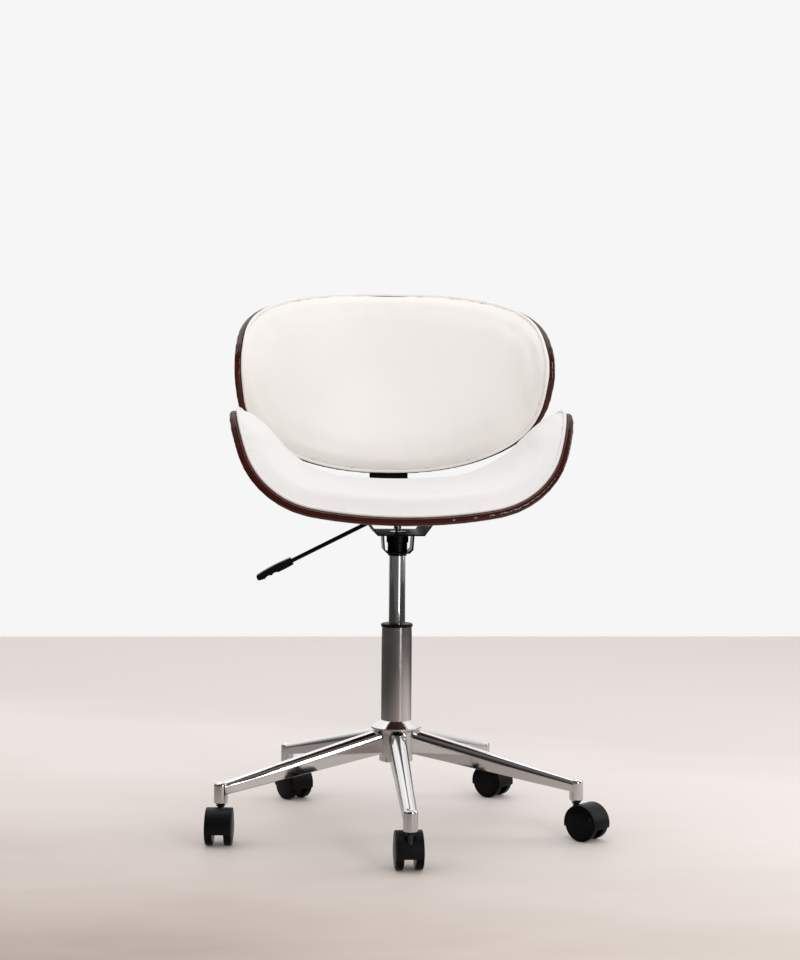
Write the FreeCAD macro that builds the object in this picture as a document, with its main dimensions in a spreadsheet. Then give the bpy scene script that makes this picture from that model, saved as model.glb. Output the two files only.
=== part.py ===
import FreeCAD, Part
import Sketcher
import os
from math import asin, cos, pi, radians, sin, sqrt, tan
from FreeCAD import Placement, Rotation, Vector

# Swivel desk chair: two bent plywood shells with upholstered pads on a gas column and a five-arm caster base.
# The sitter faces -Y. The origin is on the floor under the column.

doc = FreeCAD.newDocument("desk_chair")
sheet = doc.addObject("Spreadsheet::Sheet", "sizes")

SIZES = [
    ("overrun", 2, "how far a cutting tool runs past what it cuts"),
    ("running_clearance", 0.05, "radial play of a shaft in its bore"),
    ("cover_clearance", 0.3, "gap between soft or curved faces"),
    # casters
    ("wheel_radius", 28, "caster wheel"),
    ("wheel_tread", 11, "tread of one caster wheel"),
    ("wheel_dome", 3, "how far a wheel's outer face bulges past its tread"),
    ("wheel_gap", 18, "gap between the twin wheels"),
    ("wheel_edge", 2, "rounding of the tread"),
    ("wheel_groove", 0.8, "groove round the wheel's outer face"),
    ("wheel_groove_inset", 3.2, "from the tread in to the groove"),
    ("axle_radius", 4, "caster axle"),
    ("hood_gap", 0.6, "gap between the treads and the hood"),
    ("hood_wall", 1.8, "wall of the hood"),
    ("hood_edge", 0.8, "rounding of the hood's side rims"),
    ("hood_skirt", 6.5, "how far the hood reaches below the axle"),
    ("web_gap", 1, "gap between the hood's web and a wheel"),
    ("web_drop", 7.5, "how far the web reaches below the axle"),
    ("funnel_rise", 13, "foot of the funnel round the stem above the axle"),
    ("funnel_radius", 9.5, "mouth of the funnel round the stem"),
    ("stem_radius", 5.3, "caster stem"),
    ("stem_rise", 9, "foot of the caster stem above the axle"),
    ("stem_grip", 22, "how far the caster stem reaches into the arm's socket"),
    ("stem_trail", 21, "distance from the stem's axis back to the axle"),
    ("stem_collar_radius", 7.3, "collar of the caster stem"),
    ("stem_collar_height", 1.6, "collar of the caster stem"),
    ("stem_collar_drop", 3, "foot of the stem's collar below the arm's socket"),
    # arms
    ("caster_circle", 300, "radius of the circle of the five casters"),
    ("socket_play", 1.6, "height of the arm's socket above the hood"),
    ("socket_radius", 11, "vertical socket at an arm's end"),
    ("socket_chamfer", 2.4, "chamfer round the socket's mouth"),
    ("socket_crown", 5, "rounding of the socket's top"),
    ("sleeve_radius", 7.5, "plastic sleeve in the socket"),
    ("sleeve_depth", 24, "plastic sleeve in the socket"),
    ("arm_wall", 2.5, "pressed steel of the arms"),
    ("arm_tip_half_width", 10.5, "half width of an arm at its end"),
    ("arm_tip_rise", 15, "underside of an arm at its end above its socket's mouth"),
    ("arm_tip_side", 11, "flat sides of an arm at its end"),
    ("arm_tip_height", 19, "whole height of an arm at its end"),
    ("arm_root_half_width", 14.5, "half width of an arm at the hub"),
    ("arm_root_rise", 14, "underside of an arm at the hub above the hub's foot"),
    ("arm_root_side", 22, "flat sides of an arm at the hub"),
    ("arm_root_height", 39, "whole height of an arm at the hub"),
    # hub
    ("hub_low", 110, "underside of the hub"),
    ("hub_foot_radius", 27.5, "lower boss of the hub"),
    ("hub_foot_height", 13, "lower boss of the hub"),
    ("hub_bevel", 3, "slope between lower boss and body"),
    ("hub_radius", 35, "body of the hub"),
    ("hub_body_height", 36, "straight body of the hub"),
    ("hub_flare", 5, "height of the flare from the body to the rim"),
    ("hub_rim_radius", 41.5, "rim under the top cone"),
    ("hub_rim_height", 2.5, "rim under the top cone"),
    ("hub_cone_height", 10.5, "top cone of the hub"),
    ("hub_lip", 4, "ledge that stops the stand tube"),
    ("hub_lip_height", 2, "ledge that stops the stand tube"),
    ("hub_socket_depth", 4, "depth of the arched socket round an arm's root"),
    ("hub_socket_gap", 2, "gap between an arm's root and its arched socket"),
    # stand tube and lift
    ("tube_radius", 25, "stand tube, outside"),
    ("tube_wall", 2, "stand tube wall"),
    ("tube_floor", 3, "plate that closes the foot of the stand tube"),
    ("tube_length", 219, "stand tube"),
    ("collar_radius", 26.3, "cap of the guide bush"),
    ("collar_height", 5, "cap of the guide bush"),
    ("collar_edge", 1.2, "chamfer round the cap of the guide bush"),
    ("bush_depth", 80, "how deep the guide bush reaches into the stand tube"),
    ("race_height", 2, "one race of the thrust bearing"),
    ("race_radius", 11.5, "outside of the thrust bearing"),
    ("ball_radius", 2, "balls of the thrust bearing"),
    ("ball_ring_radius", 8.4, "circle of the ball centres"),
    ("cage_height", 1.2, "ball cage"),
    ("bumper_radius", 13, "rubber bumper over the bearing"),
    ("bumper_height", 14, "rubber bumper over the bearing"),
    ("clip_radius", 9, "spring clip under the stand tube"),
    ("clip_height", 1.5, "spring clip under the stand tube"),
    ("clip_bite", 1, "depth of the clip's groove in the rod"),
    ("shaft_radius", 5, "piston rod"),
    ("shaft_foot", 10, "how far the piston rod reaches below the stand tube"),
    ("shoulder_radius", 7, "shoulder that carries the piston rod on its bearing"),
    ("shoulder_height", 3, "shoulder of the piston rod"),
    ("piston_height", 10, "piston on the rod"),
    ("lift_travel", 100, "stroke of the gas lift"),
    ("lift_spare", 7, "gap over the bumper when the lift is right down"),
    ("gas_radius", 14, "outside of the gas cylinder"),
    ("gas_wall", 3, "wall of the gas cylinder"),
    ("gas_seal", 14.7, "end seal of the gas cylinder"),
    ("gas_head", 84, "solid valve block at the top of the gas cylinder"),
    ("gas_rise", 0.5, "top of the gas cylinder above its taper bush"),
    ("taper_length", 58, "taper at the top of the gas cylinder"),
    ("taper_drop", 0.9, "how much the radius shrinks up the taper"),
    ("pin_radius", 4, "valve pin"),
    ("pin_sink", 18, "foot of the valve pin below the top of the gas cylinder"),
    ("pin_rise", 10.7, "top of the valve pin above the top of the gas cylinder"),
    ("pin_cap_radius", 6, "button on the valve pin"),
    ("pin_cap_height", 6, "button on the valve pin"),
    ("pin_travel", 4.1, "travel of the valve pin"),
    # seat plate
    ("plate_half_length", 83.5, "pressed seat plate, front to back"),
    ("plate_half_width", 76, "pressed seat plate, side to side"),
    ("plate_sheet", 2.5, "steel of the seat plate"),
    ("plate_depth", 22, "underside of the dish below the seat shell"),
    ("plate_dish_half_width", 38, "flat floor of the dish"),
    ("plate_flange_half_width", 54, "where the dish's slope meets the flange"),
    ("flange_gap", 0.15, "gap between the plate's flanges and the seat shell"),
    ("plate_bolt_x", 65, "bolts of the seat plate, across"),
    ("plate_bolt_y", 58, "bolts of the seat plate, along"),
    ("strap_half_width", 26.5, "outside of the hanging strap under the dish"),
    ("strap_foot_half_width", 24.5, "outside of the strap above its lower bends"),
    ("strap_drop", 32.5, "how far the strap hangs below the dish"),
    ("strap_half_length", 26, "hanging strap, front to back"),
    ("strap_bend", 6, "rounding of the strap's lower bends"),
    ("bush_foot_height", 4.5, "ring of the taper bush below the strap"),
    ("bush_foot_radius", 15.6, "ring at the foot of the taper bush"),
    ("bush_body_radius", 16.3, "taper bush below the step"),
    ("bush_head_height", 18.5, "taper bush above the step"),
    ("bush_head_radius", 18.2, "taper bush above the step"),
    ("bolt_radius", 3, "shanks of the screws"),
    ("bolt_head_radius", 6, "heads of the screws"),
    ("bolt_head_height", 3.4, "heads of the screws"),
    ("bolt_key_radius", 2, "hexagon recess in the heads"),
    ("bolt_key_depth", 2, "hexagon recess in the heads"),
    ("nut_radius", 4.5, "barrel of the tee nuts"),
    ("nut_flange_radius", 9, "flange of the tee nuts"),
    ("nut_flange_height", 1.2, "flange of the tee nuts"),
    ("nut_sink", 0.5, "how far a tee nut's flange lies below the wood's padded face"),
    ("nut_setback", 1.5, "how far a tee nut's barrel stays from the far face of the wood"),
    # lever
    ("lever_radius", 3.5, "lever rod"),
    ("lever_play", 0.2, "gap between the lever rod and the valve pin"),
    ("lever_inner_end", 15, "inner end of the lever rod"),
    ("lever_pivot", 48, "where the lever rod rests in the plate's side"),
    ("lever_bend", 16, "bend of the lever rod"),
    ("lever_reach", 192, "outer end of the lever rod"),
    ("lever_drop", 72.2, "outer end of the lever rod below its inner stretch"),
    ("lever_window", 5.6, "half size of the window in the plate's side"),
    ("grip_overlap", 20.2, "how much of the rod's end the paddle covers"),
    ("grip_length", 64, "paddle"),
    ("grip_half_height", 6.4, "paddle"),
    ("grip_half_width", 12, "paddle"),
    ("grip_round", 3, "rounding of the paddle"),
    ("grip_groove_depth", 2.2, "finger grooves under the paddle"),
    ("grip_groove_pitch", 12, "finger grooves under the paddle"),
    # seat shell, measured on its outer face
    ("wood", 12, "thickness of both plywood shells"),
    ("wood_edge", 3, "rounding of the plywood edges"),
    ("seat_low", 507, "underside of the raised seat shell above the floor"),
    ("seat_front", 187, "front edge of the seat shell ahead of the column"),
    ("seat_back", 197, "rear edge of the seat shell behind the column"),
    ("seat_tip_y", 60, "wing tips ahead of the column"),
    ("seat_half_run", 398, "half width of the seat blank before bending"),
    ("seat_front_middle_radius", 900, "gentle bend of the middle at the front edge"),
    ("seat_front_middle_half", 149, "half width of that gentle bend"),
    ("seat_front_side_radius", 170, "side bend at the front edge"),
    ("seat_back_middle_half", 65, "half width of the gentle bend at the rear edge"),
    ("seat_back_side_radius", 150, "side bend at the rear edge"),
    ("seat_pad_margin", 5, "wood left bare round the seat pad"),
    ("seat_pad_height", 54, "crown of the seat pad"),
    ("seat_pad_roll", 30, "width of the rolled border of the seat pad"),
    ("pad_draw", 4, "how far the pads draw in at the wood"),
    # back shell, measured on its outer face
    ("back_rise", 70, "lowest point of the back shell above the seat shell's"),
    ("back_height", 323, "back shell from its lowest to its highest point"),
    ("back_nose_rise", 185, "the back's wing tips above its lowest point"),
    ("back_setback", 25, "lowest point of the back shell behind the seat shell's rear edge"),
    ("back_half_run", 371, "half width of the back blank before bending"),
    ("back_middle_radius", 350, "bend of the back's middle"),
    ("back_middle_half", 218, "half width of that bend"),
    ("back_side_radius", 140, "side bend of the back"),
    ("back_pad_margin", 2.5, "wood left bare round the back pad"),
    ("back_pad_height", 33, "crown of the back pad"),
    ("back_pad_roll", 26, "width of the rolled border of the back pad"),
    # bracket
    ("bracket_half_width", 34, "flat steel bracket between seat and back"),
    ("bracket_steel", 6, "flat steel bracket between seat and back"),
    ("bracket_gap", 8.5, "between the seat plate and the bracket's front end"),
    ("bracket_reach", 138, "top end of the bracket above the back shell's lowest point"),
    ("bracket_bend", 9, "inner radius of the bracket's bend"),
    ("bracket_corner", 10, "rounded ends of the bracket"),
    ("bracket_bolt_x", 19, "bolts of the bracket, across"),
    ("bracket_bolt_inset", 20, "front pair of bolts behind the bracket's front end"),
    ("bracket_bolt_pitch", 52, "between the pairs of bolts of the bracket"),
    ("back_bolt_rise", 56, "lower pair of bolts behind the back above the back shell's lowest point"),
]
for row, (word, number, note) in enumerate(SIZES, start=1):
    sheet.set("A" + str(row), note)
    sheet.set("B" + str(row), str(number))
    sheet.setAlias("B" + str(row), word)
doc.recompute()

# Angles and shares.
ARM_BEARINGS = {"front": -90, "right": -18, "rear_right": 54, "rear_left": 126, "left": -162}
CASTER_HEADINGS = {"front": 92, "right": -46, "rear_right": -43, "rear_left": -56, "left": -95}
SEAT_WING_LEAN = radians(67)
BACK_WING_TURN = radians(82)
BACK_RECLINE = radians(9)
BALLS = 8
STATIONS = 18
LAST_STATION_SHARE = 0.985
SEAT_FRONT_RIM_SHARES = (2.0, 0.5, 0)
SEAT_REAR_RIM_SHARES = (1.7, 0.885, 0.16)
BACK_TOP_RIM_SHARES = (2.6, 0.62, 0)
BACK_LOW_RIM_SHARES = (2.2, 0.72, 0)
TIP_CROWDING_SHARE = 0.4
CROWN_FADE_SHARE = 0.4
PAD_SIDE_SHARE = 0.36
PAD_SHOULDER_SHARE = 0.8
PAD_ROLL_LIMIT_SHARE = 0.42
PAD_DRAW_LIMIT_SHARE = 0.2


class Length:
    """A length together with the spreadsheet formula that gives it."""

    def __init__(self, number, formula):
        self.number = number
        self.formula = formula

    def __add__(self, other):
        return combine(self, other, "+")

    def __sub__(self, other):
        return combine(self, other, "-")

    def __mul__(self, other):
        return combine(self, other, "*")

    def __truediv__(self, other):
        return combine(self, other, "/")

    def __neg__(self):
        return Length(-self.number, "(-" + self.formula + ")")

    def __float__(self):
        return float(self.number)


def combine(first, second, sign):
    if not isinstance(second, Length):
        second = Length(second, repr(second))
    results = {
        "+": lambda: first.number + second.number,
        "-": lambda: first.number - second.number,
        "*": lambda: first.number * second.number,
        "/": lambda: first.number / second.number,
    }
    return Length(results[sign](), "(" + first.formula + sign + second.formula + ")")


class Sizes:
    """The spreadsheet's cells by their names."""

    def __getattr__(self, word):
        return Length(float(sheet.get(word)), "sizes." + word)


s = Sizes()
ZERO = Length(0, "0")

# Heights above the floor. The casters carry the sockets, the hub carries the arms' roots and the stand tube, and
# the plate, the lever, the lift's upper end and the back follow the seat shell.
axle_height = s.wheel_radius
hood_radius = s.wheel_radius + s.hood_gap + s.hood_wall
socket_low = axle_height + hood_radius + s.socket_play
arm_tip_low = socket_low + s.arm_tip_rise
arm_root_low = s.hub_low + s.arm_root_rise
hub_foot_high = s.hub_low + s.hub_foot_height
hub_neck_high = hub_foot_high + s.hub_body_height
hub_rim_low = hub_neck_high + s.hub_flare
hub_rim_high = hub_rim_low + s.hub_rim_height
hub_high = hub_rim_high + s.hub_cone_height
tube_low = s.hub_low + s.hub_lip_height
tube_high = tube_low + s.tube_length
dish_low = s.seat_low - s.plate_depth
strap_low = dish_low - s.strap_drop
bush_low = strap_low - s.bush_foot_height
bush_high = dish_low + s.plate_sheet
bush_step = bush_high - s.bush_head_height
gas_high = bush_high + s.gas_rise
taper_low = gas_high - s.taper_length
pin_low = gas_high - s.pin_sink
pin_high = gas_high + s.pin_rise
lever_height = pin_high + s.lever_radius + s.lever_play
back_low = s.seat_low + s.back_rise
back_rear = s.seat_back + s.back_setback
bracket_front = s.plate_half_length + s.bracket_gap


def bind(thing, **fields):
    """Ties an object's properties to the spreadsheet; x, y and z are its place."""
    places = {"x": ".Placement.Base.x", "y": ".Placement.Base.y", "z": ".Placement.Base.z"}
    for field, length in fields.items():
        thing.setExpression(places.get(field, field), length.formula)
    return thing


def cylinder(label, radius, low, high, x=ZERO, y=ZERO):
    """An upright cylinder between two heights."""
    made = doc.addObject("Part::Cylinder", label)
    return bind(made, Radius=radius, Height=high - low, x=x, y=y, z=low)


def box(label, low, high):
    """A block between two corners."""
    made = doc.addObject("Part::Box", label)
    sides = {"Length": high[0] - low[0], "Width": high[1] - low[1], "Height": high[2] - low[2]}
    return bind(made, x=low[0], y=low[1], z=low[2], **sides)


def cut(label, base, *tools):
    """The base with the tools taken away, one after the other."""
    for step, tool in enumerate(tools, start=1):
        made = doc.addObject("Part::Cut", label if step == len(tools) else label + "_cut_" + str(step))
        made.Base = base
        made.Tool = tool
        base = made
    return base


def feature(label, shape, place=None):
    """A sub-part whose shape is worked out here from the sheet."""
    made = doc.addObject("Part::Feature", label)
    made.Shape = shape
    if place is not None:
        made.Placement = place.multiply(made.Placement)
    return made


def outline(body, plane, corners, name):
    """A closed sketch through corners given as lengths, every corner tied to the spreadsheet."""
    drawn = body.newObject("Sketcher::SketchObject", name)
    origin_planes = [item for item in body.Origin.OriginFeatures if item.Role == plane]
    drawn.AttachmentSupport = [(origin_planes[0], "")]
    drawn.MapMode = "FlatFace"
    count = len(corners)
    for here in range(count):
        start = corners[here]
        end = corners[(here + 1) % count]
        start_point = Vector(float(start[0]), float(start[1]), 0)
        end_point = Vector(float(end[0]), float(end[1]), 0)
        drawn.addGeometry(Part.LineSegment(start_point, end_point), False)
    for here in range(count):
        drawn.addConstraint(Sketcher.Constraint("Coincident", here, 2, (here + 1) % count, 1))
    for here, corner in enumerate(corners):
        for kind, axis, length in (("DistanceX", -2, corner[0]), ("DistanceY", -1, corner[1])):
            if length is ZERO:
                drawn.addConstraint(Sketcher.Constraint("PointOnObject", here, 1, axis))
            else:
                index = drawn.addConstraint(Sketcher.Constraint(kind, -1, 1, here, 1, float(length)))
                drawn.setExpression("Constraints[" + str(index) + "]", length.formula)
    return drawn


def turned(label, corners):
    """A body turned about the column's axis from a half outline of radius and height."""
    body = doc.addObject("PartDesign::Body", label)
    drawn = outline(body, "XZ_Plane", corners, label + "_outline")
    spun = body.newObject("PartDesign::Revolution", label + "_turned")
    spun.Profile = drawn
    spun.ReferenceAxis = (drawn, ["V_Axis"])
    spun.Angle = 360
    body.Tip = spun
    return body


def extruded(label, plane, corners, length):
    """A body padded to both sides of an origin plane."""
    body = doc.addObject("PartDesign::Body", label)
    drawn = outline(body, plane, corners, label + "_outline")
    pad = body.newObject("PartDesign::Pad", label + "_pad")
    pad.Profile = drawn
    pad.Midplane = True
    pad.setExpression("Length", length.formula)
    body.Tip = pad
    return body


def about_column(angle):
    return Placement(Vector(0, 0, 0), Rotation(Vector(0, 0, 1), angle))


kept = []


def keep(*objects):
    kept.extend(objects)


# Stand tube: a steel tube closed at its foot by a plate that the piston rod passes through.
keep(turned("stand_tube", [
    (s.shaft_radius + s.running_clearance, tube_low),
    (s.tube_radius, tube_low),
    (s.tube_radius, tube_high),
    (s.tube_radius - s.tube_wall, tube_high),
    (s.tube_radius - s.tube_wall, tube_low + s.tube_floor),
    (s.shaft_radius + s.running_clearance, tube_low + s.tube_floor),
]))

# Guide bush: a plastic sleeve pressed into the tube's mouth, with a cap that covers the tube's rim.
keep(turned("guide_bush", [
    (s.gas_radius + s.running_clearance, tube_high - s.bush_depth),
    (s.tube_radius - s.tube_wall, tube_high - s.bush_depth),
    (s.tube_radius - s.tube_wall, tube_high),
    (s.collar_radius, tube_high),
    (s.collar_radius, tube_high + s.collar_height - s.collar_edge),
    (s.collar_radius - s.collar_edge, tube_high + s.collar_height),
    (s.gas_radius + s.running_clearance, tube_high + s.collar_height),
]))

# Thrust bearing under the rod's shoulder: a race on the tube's floor, caged balls, and a race that turns.
bearing_low = tube_low + s.tube_floor
balls_low = bearing_low + s.race_height
race_high = balls_low + s.ball_radius * 2
bearing_high = race_high + s.race_height
bumper_low = bearing_high + s.shoulder_height
bumper_high = bumper_low + s.bumper_height
race_bore = s.shaft_radius + s.clip_bite


def ring(label, inner, outer, low, high):
    return turned(label, [(inner, low), (outer, low), (outer, high), (inner, high)])


keep(ring("lower_race", race_bore, s.race_radius, bearing_low, balls_low))
keep(ring("upper_race", s.shaft_radius, s.race_radius, race_high, bearing_high))
cage_low = balls_low + s.ball_radius - s.cage_height / 2
cage = Part.makeCylinder(float(s.race_radius), float(s.cage_height), Vector(0, 0, float(cage_low)))
cage = cage.cut(Part.makeCylinder(float(race_bore), float(s.cage_height), Vector(0, 0, float(cage_low))))
for number in range(BALLS):
    bearing = 2 * pi * number / BALLS
    centre = Vector(cos(bearing), sin(bearing), 0) * float(s.ball_ring_radius)
    centre.z = float(balls_low + s.ball_radius)
    cage = cage.fuse(Part.makeSphere(float(s.ball_radius), centre))
keep(feature("ball_cage", cage))

# Piston rod: hangs in the gas cylinder, carried by its shoulder and held down by a spring clip.
clip_low = tube_low - s.clip_height - s.cover_clearance
gas_low = bumper_high + s.lift_travel + s.lift_spare
piston_low = gas_low + s.gas_seal + s.cover_clearance
piston_bore = s.gas_radius - s.gas_wall
keep(turned("piston_rod", [
    (ZERO, tube_low - s.shaft_foot),
    (s.shaft_radius, tube_low - s.shaft_foot),
    (s.shaft_radius, clip_low),
    (s.shaft_radius - s.clip_bite, clip_low),
    (s.shaft_radius - s.clip_bite, clip_low + s.clip_height),
    (s.shaft_radius, clip_low + s.clip_height),
    (s.shaft_radius, bearing_high),
    (s.shoulder_radius, bearing_high),
    (s.shoulder_radius, bumper_low),
    (s.shaft_radius, bumper_low),
    (s.shaft_radius, piston_low),
    (piston_bore - s.running_clearance, piston_low),
    (piston_bore - s.running_clearance, piston_low + s.piston_height),
    (ZERO, piston_low + s.piston_height),
]))
keep(ring("rod_clip", s.shaft_radius - s.clip_bite, s.clip_radius, clip_low, clip_low + s.clip_height))
keep(turned("rubber_bumper", [
    (s.shaft_radius, bumper_low),
    (s.bumper_radius, bumper_low),
    (s.bumper_radius, bumper_low + s.bumper_height / 3),
    (s.bumper_radius - s.clip_bite * 2, bumper_low + s.bumper_height / 2),
    (s.bumper_radius, bumper_low + s.bumper_height * 2 / 3),
    (s.bumper_radius, bumper_high),
    (s.shaft_radius, bumper_high),
]))

# Gas cylinder: slides in the guide bush, tapers into the seat plate's bush, and holds the valve pin in its top.
keep(turned("gas_cylinder", [
    (s.shaft_radius + s.running_clearance, gas_low),
    (s.gas_radius, gas_low),
    (s.gas_radius, taper_low),
    (s.gas_radius - s.taper_drop, gas_high),
    (s.pin_radius + s.running_clearance, gas_high),
    (s.pin_radius + s.running_clearance, pin_low - s.pin_travel - s.cover_clearance),
    (ZERO, pin_low - s.pin_travel - s.cover_clearance),
    (ZERO, gas_high - s.gas_head),
    (piston_bore, gas_high - s.gas_head),
    (piston_bore, gas_low + s.gas_seal),
    (s.shaft_radius + s.running_clearance, gas_low + s.gas_seal),
]))

# Valve pin: the button that the lever presses to release the gas lift.
keep(turned("valve_pin", [
    (ZERO, pin_low),
    (s.pin_radius, pin_low),
    (s.pin_radius, pin_high - s.pin_cap_height),
    (s.pin_cap_radius, pin_high - s.pin_cap_height),
    (s.pin_cap_radius, pin_high - s.collar_edge),
    (s.pin_cap_radius - s.collar_edge, pin_high),
    (ZERO, pin_high),
]))

# Hub: a steel turning with a sloping top, and arched sockets that the arms' roots enter.
hub_turned = turned("hub_turned", [
    (s.tube_radius - s.hub_lip, s.hub_low),
    (s.hub_foot_radius, s.hub_low),
    (s.hub_foot_radius, hub_foot_high - s.hub_bevel),
    (s.hub_radius, hub_foot_high),
    (s.hub_radius, hub_neck_high),
    (s.hub_rim_radius, hub_rim_low),
    (s.hub_rim_radius, hub_rim_high),
    (s.tube_radius, hub_high),
    (s.tube_radius, tube_low),
    (s.tube_radius - s.hub_lip, tube_low),
])


def arch(half_width, low, shoulder, high, gap, y):
    """An upright arch-shaped wire at a distance ahead of the column: flat foot, flat sides, round crest."""
    side = float(half_width) + gap
    foot = float(low) - gap
    spring = float(shoulder)
    crest = float(high) + gap
    places = ((-side, foot), (side, foot), (side, spring), (-side, spring))
    corners = [Vector(x, y, z) for x, z in places]
    crown = Part.Arc(corners[2], Vector(0, y, crest), corners[3]).toShape()
    lines = [Part.makeLine(corners[0], corners[1]), Part.makeLine(corners[1], corners[2])]
    return Part.Wire(lines + [crown, Part.makeLine(corners[3], corners[0])])


socket_floor = float(s.hub_radius - s.hub_socket_depth)
arm_root_shoulder = arm_root_low + s.arm_root_side
arm_tip_shoulder = arm_tip_low + s.arm_tip_side
root_arch = (s.arm_root_half_width, arm_root_low, arm_root_shoulder, arm_root_low + s.arm_root_height)
tip_arch = (s.arm_tip_half_width, arm_tip_low, arm_tip_shoulder, arm_tip_low + s.arm_tip_height)
socket_face = Part.Face(arch(*root_arch, float(s.hub_socket_gap), -socket_floor))
socket_cutter = socket_face.extrude(Vector(0, -float(s.hub_rim_radius), 0))
socket_cutter = socket_cutter.cut(Part.makeBox(
    2 * float(s.hub_rim_radius), 2 * float(s.hub_rim_radius), float(s.hub_rim_radius),
    Vector(-float(s.hub_rim_radius), -2 * float(s.hub_rim_radius), float(hub_rim_low))))
cutters = []
for bearing in ARM_BEARINGS.values():
    turned_cutter = socket_cutter.copy()
    turned_cutter.rotate(Vector(0, 0, 0), Vector(0, 0, 1), bearing - ARM_BEARINGS["front"])
    cutters.append(turned_cutter)
keep(cut("base_hub", hub_turned, feature("hub_sockets", Part.makeCompound(cutters))))

# Arms: pressed steel, arched in section and open underneath, tapering from the hub to a vertical socket with a
# rounded top.
def hollow(half_width, low, shoulder, high):
    """The inside of an arched section; it runs out through the open underside."""
    return half_width - s.arm_wall, low - s.overrun, shoulder, high - s.arm_wall


arm_solid = Part.makeLoft([arch(*root_arch, 0, -socket_floor), arch(*tip_arch, 0, -float(s.caster_circle))],
                          True, True)
arm_room = Part.makeLoft([
    arch(*hollow(*root_arch), 0, -socket_floor),
    arch(*hollow(*tip_arch), 0, -float(s.caster_circle)),
], True, True)
socket_high = arm_tip_low + s.arm_tip_height + s.cover_clearance
socket_foot = Vector(0, -float(s.caster_circle), float(socket_low))
arm_socket = Part.makeCylinder(float(s.socket_radius), float(socket_high - socket_low), socket_foot)
top_rim = [edge for edge in arm_socket.Edges if edge.BoundBox.ZMin > float(socket_high - s.running_clearance)]
arm_socket = arm_socket.makeFillet(float(s.socket_crown), top_rim)
mouth = [edge for edge in arm_socket.Edges if edge.BoundBox.ZMax < float(socket_low + s.running_clearance)]
arm_socket = arm_socket.makeChamfer(float(s.socket_chamfer), mouth)
sleeve_bore = Part.makeCylinder(float(s.sleeve_radius), float(s.sleeve_depth), socket_foot)
arm_shape = arm_solid.cut(arm_room).fuse(arm_socket).cut(sleeve_bore)
arm_pieces = []
for name, bearing in ARM_BEARINGS.items():
    arm_pieces.append(feature("base_arm_" + name, arm_shape, about_column(bearing - ARM_BEARINGS["front"])))
keep(*arm_pieces)

# Caster sleeves and stems: five alike, kept as groups of separate solids.
sleeve = Part.makeCylinder(float(s.sleeve_radius), float(s.sleeve_depth)).cut(
    Part.makeCylinder(float(s.stem_radius), float(s.sleeve_depth)))
sleeve.translate(Vector(0, 0, float(socket_low)))
stem_low = axle_height + s.stem_rise
stem_length = socket_low + s.stem_grip - stem_low
stem = Part.makeCylinder(float(s.stem_radius), float(stem_length), Vector(0, 0, float(stem_low)))
stem = stem.makeChamfer(float(s.collar_edge), [edge for edge in stem.Edges if len(edge.Vertexes) == 1])
stem = stem.fuse(Part.makeCylinder(float(s.stem_collar_radius), float(s.stem_collar_height),
                                   Vector(0, 0, float(socket_low - s.stem_collar_drop)))).removeSplitter()


def caster_place(name):
    bearing = radians(ARM_BEARINGS[name])
    return Vector(cos(bearing), sin(bearing), 0) * float(s.caster_circle)


def at_casters(label, shape):
    copies = []
    for name in ARM_BEARINGS:
        copy = shape.copy()
        copy.translate(caster_place(name))
        copies.append(copy)
    return feature(label, Part.makeCompound(copies))


keep(at_casters("caster_sleeves", sleeve))
keep(at_casters("caster_stems", stem))

# Casters, drawn with the stem on the origin's axis and the wheels trailing along +X. The hood is a band
# over both treads on a web between the wheels; a funnel round the stem opens its leading side.
trail = float(s.stem_trail)
hood_half_width = s.wheel_gap / 2 + s.wheel_tread + s.hood_gap
web_half_width = s.wheel_gap / 2 - s.web_gap
funnel_low = axle_height + s.funnel_rise


def cross_cylinder(radius, half_width):
    """A cylinder along the axle, centred between the wheels."""
    start = Vector(trail, -float(half_width), float(axle_height))
    return Part.makeCylinder(float(radius), 2 * float(half_width), start, Vector(0, 1, 0))


reach = 2 * float(hood_radius)
above_skirt = Part.makeBox(2 * reach, 2 * reach, reach,
                           Vector(-reach, -reach, float(axle_height - s.hood_skirt)))
hood_band = cross_cylinder(hood_radius, hood_half_width)
hood_band = hood_band.makeFillet(float(s.hood_edge), [e for e in hood_band.Edges if len(e.Vertexes) == 1])
hood_band = hood_band.cut(cross_cylinder(hood_radius - s.hood_wall, hood_half_width + s.overrun))
web = cross_cylinder(hood_radius - s.hood_wall / 2, web_half_width)
hood_upper = hood_band.fuse(web).common(above_skirt)
stem_bore = Part.makeCylinder(float(s.stem_radius + s.running_clearance), reach,
                              Vector(0, 0, float(stem_low - s.cover_clearance)))
funnel_height = float(axle_height + hood_radius - funnel_low)
funnel = Part.makeCone(float(s.stem_radius + s.running_clearance), float(s.funnel_radius), funnel_height,
                       Vector(0, 0, float(funnel_low)))
hood_shape = hood_upper.fuse(cross_cylinder(s.web_drop, web_half_width)).removeSplitter()
hood_shape = hood_shape.cut([stem_bore, funnel, cross_cylinder(s.axle_radius, hood_half_width)])


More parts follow.
